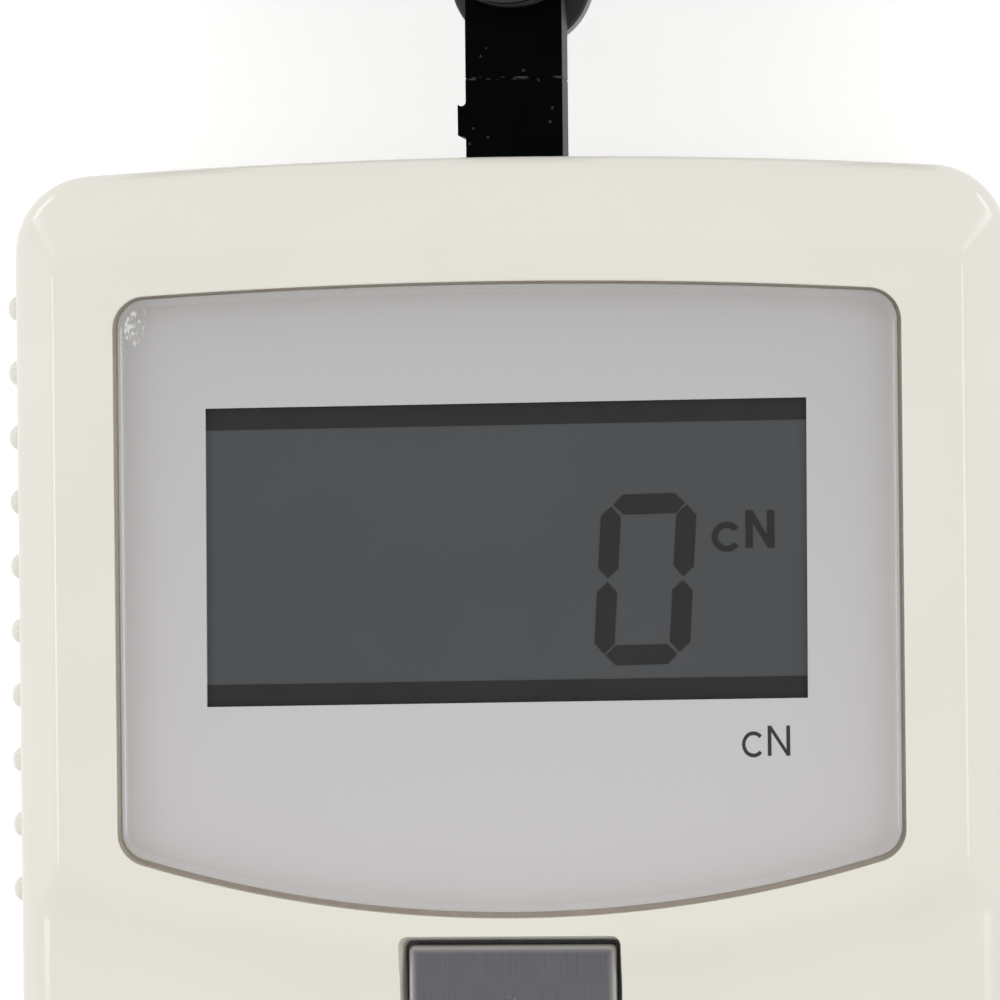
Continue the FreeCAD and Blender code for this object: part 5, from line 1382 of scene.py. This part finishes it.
def ground_bearing_steel():
    """Ground bearing steel: a clean, tight shine."""
    return coated("ground_bearing_steel", "#a5a5a4", "#bfbfbd", 2, 0.16, 0.1, 0.06, {"Metallic": 1.0})


def turned_black():
    """Black hard-coated roller: satin, with fine turned lines."""
    return coated("turned_hard_coat_black", "#0e0f10", "#161718", 2, 0.3, 0.2, 0.14,
                  {"Specular IOR Level": 0.45})


def natural_acetal():
    """Natural acetal: waxy off-white that lets a little light in."""
    sockets = {"Subsurface Weight": 0.15, "Subsurface Scale": 0.5 * MM}
    return coated("natural_acetal", "#dedcd3", "#e8e6dd", 6, 0.42, 0.4, 0.05, sockets)


def polyimide_film():
    """Polyimide film of the strain gauges: clear amber with a smooth gloss."""
    return coated("polyimide_film_amber", "#a9752f", "#b8853d", 2, 0.2, 0.3, 0.03)


def diffuser_white():
    """Light-spreading plastic: milky white and matt."""
    return coated("light_diffuser_white", "#d5d9d0", "#dfe3da", 6, 0.55, 0.3, 0.04)


def polariser():
    """Polarising film on the display: even dark grey that sends almost no light back."""
    return coated("polariser_dark_grey", "#505254", "#525456", 20, 0.5, 0.4, 0.0, {"Specular IOR Level": 0.0})


def crystal_segment():
    """Lit liquid crystal: flat, nearly black shapes."""
    return coated("liquid_crystal_segment", "#353535", "#373736", 4, 0.5, 0.4, 0.0,
                  {"Specular IOR Level": 0.0})


def printing_ink(name, dark, light):
    """Printing ink: an even, flat film."""
    return coated(name, dark, light, 4, 0.5, 0.4, 0.0)


camera()
stage()
plastic, cap_metal, acrylic, print_sheet = moulded_abs(), brushed_cap(), cast_acrylic(), screen_print()
black, steel, grey, ring_steel = moulded_black(), zinc_plate(), grey_anodise(), ground_bearing_steel()
polished, roller_coat, film = black_anodise(), turned_black(), polariser()
finishes = {
    "housing_plastic": plastic, "key_plastic": cap_metal, "clear_acrylic": acrylic,
    "printed_panel": print_sheet, "lcd_glass": film, "backlight_plastic": diffuser_white(),
    "black_plastic": black, "circuit_board": solder_mask(), "silicone": silicone_rubber(),
    "cell_jacket": cell_wrapper(), "spring_steel": drawn_spring_steel(), "screw_steel": steel,
    "black_anodised": polished, "grey_anodised": grey, "bare_aluminium": milled_aluminium(),
    "bearing_steel": ring_steel, "roller_black": roller_coat, "acetal": natural_acetal(),
    "gauge_film": polyimide_film(),
}
for part in frame["record"]["subparts"]:
    mesh = frame["nodes"][part["node"]].data
    mesh.materials.clear()
    mesh.materials.append(finishes[part["material_slot"]])

front_cover(plastic)
rear_cover(plastic)
battery_cover(plastic)
housing_screws(steel)
display_lens(acrylic)
display_panel(print_sheet)
display_glass(film, crystal_segment())
printed_unit(printing_ink("printing_ink_black", "#1c1c1e", "#222224"))
pale_ink = printing_ink("printing_ink_white", "#dcdcda", "#e4e4e2")
for node in KEYS:
    key_cap(node, cap_metal)
power_mark("power_key", pale_ink)
for node in KEYS[1:]:
    legend(node, node.replace("_key", "").upper(), pale_ink)
arm(polished)
carriage_plate(grey)
for side, body in (("left", "carriage"), ("centre", "measuring_arm"), ("right", "carriage")):
    wheel(side, side + "_wheel", roller_coat, ring_steel)
    inner_race(side, body, ring_steel)
    axle_screw(side, body, steel)
post("left", polished)
post("right", polished)
spacer(steel)
thumb_slider(black)

bpy.context.scene.view_settings.view_transform = "Standard"
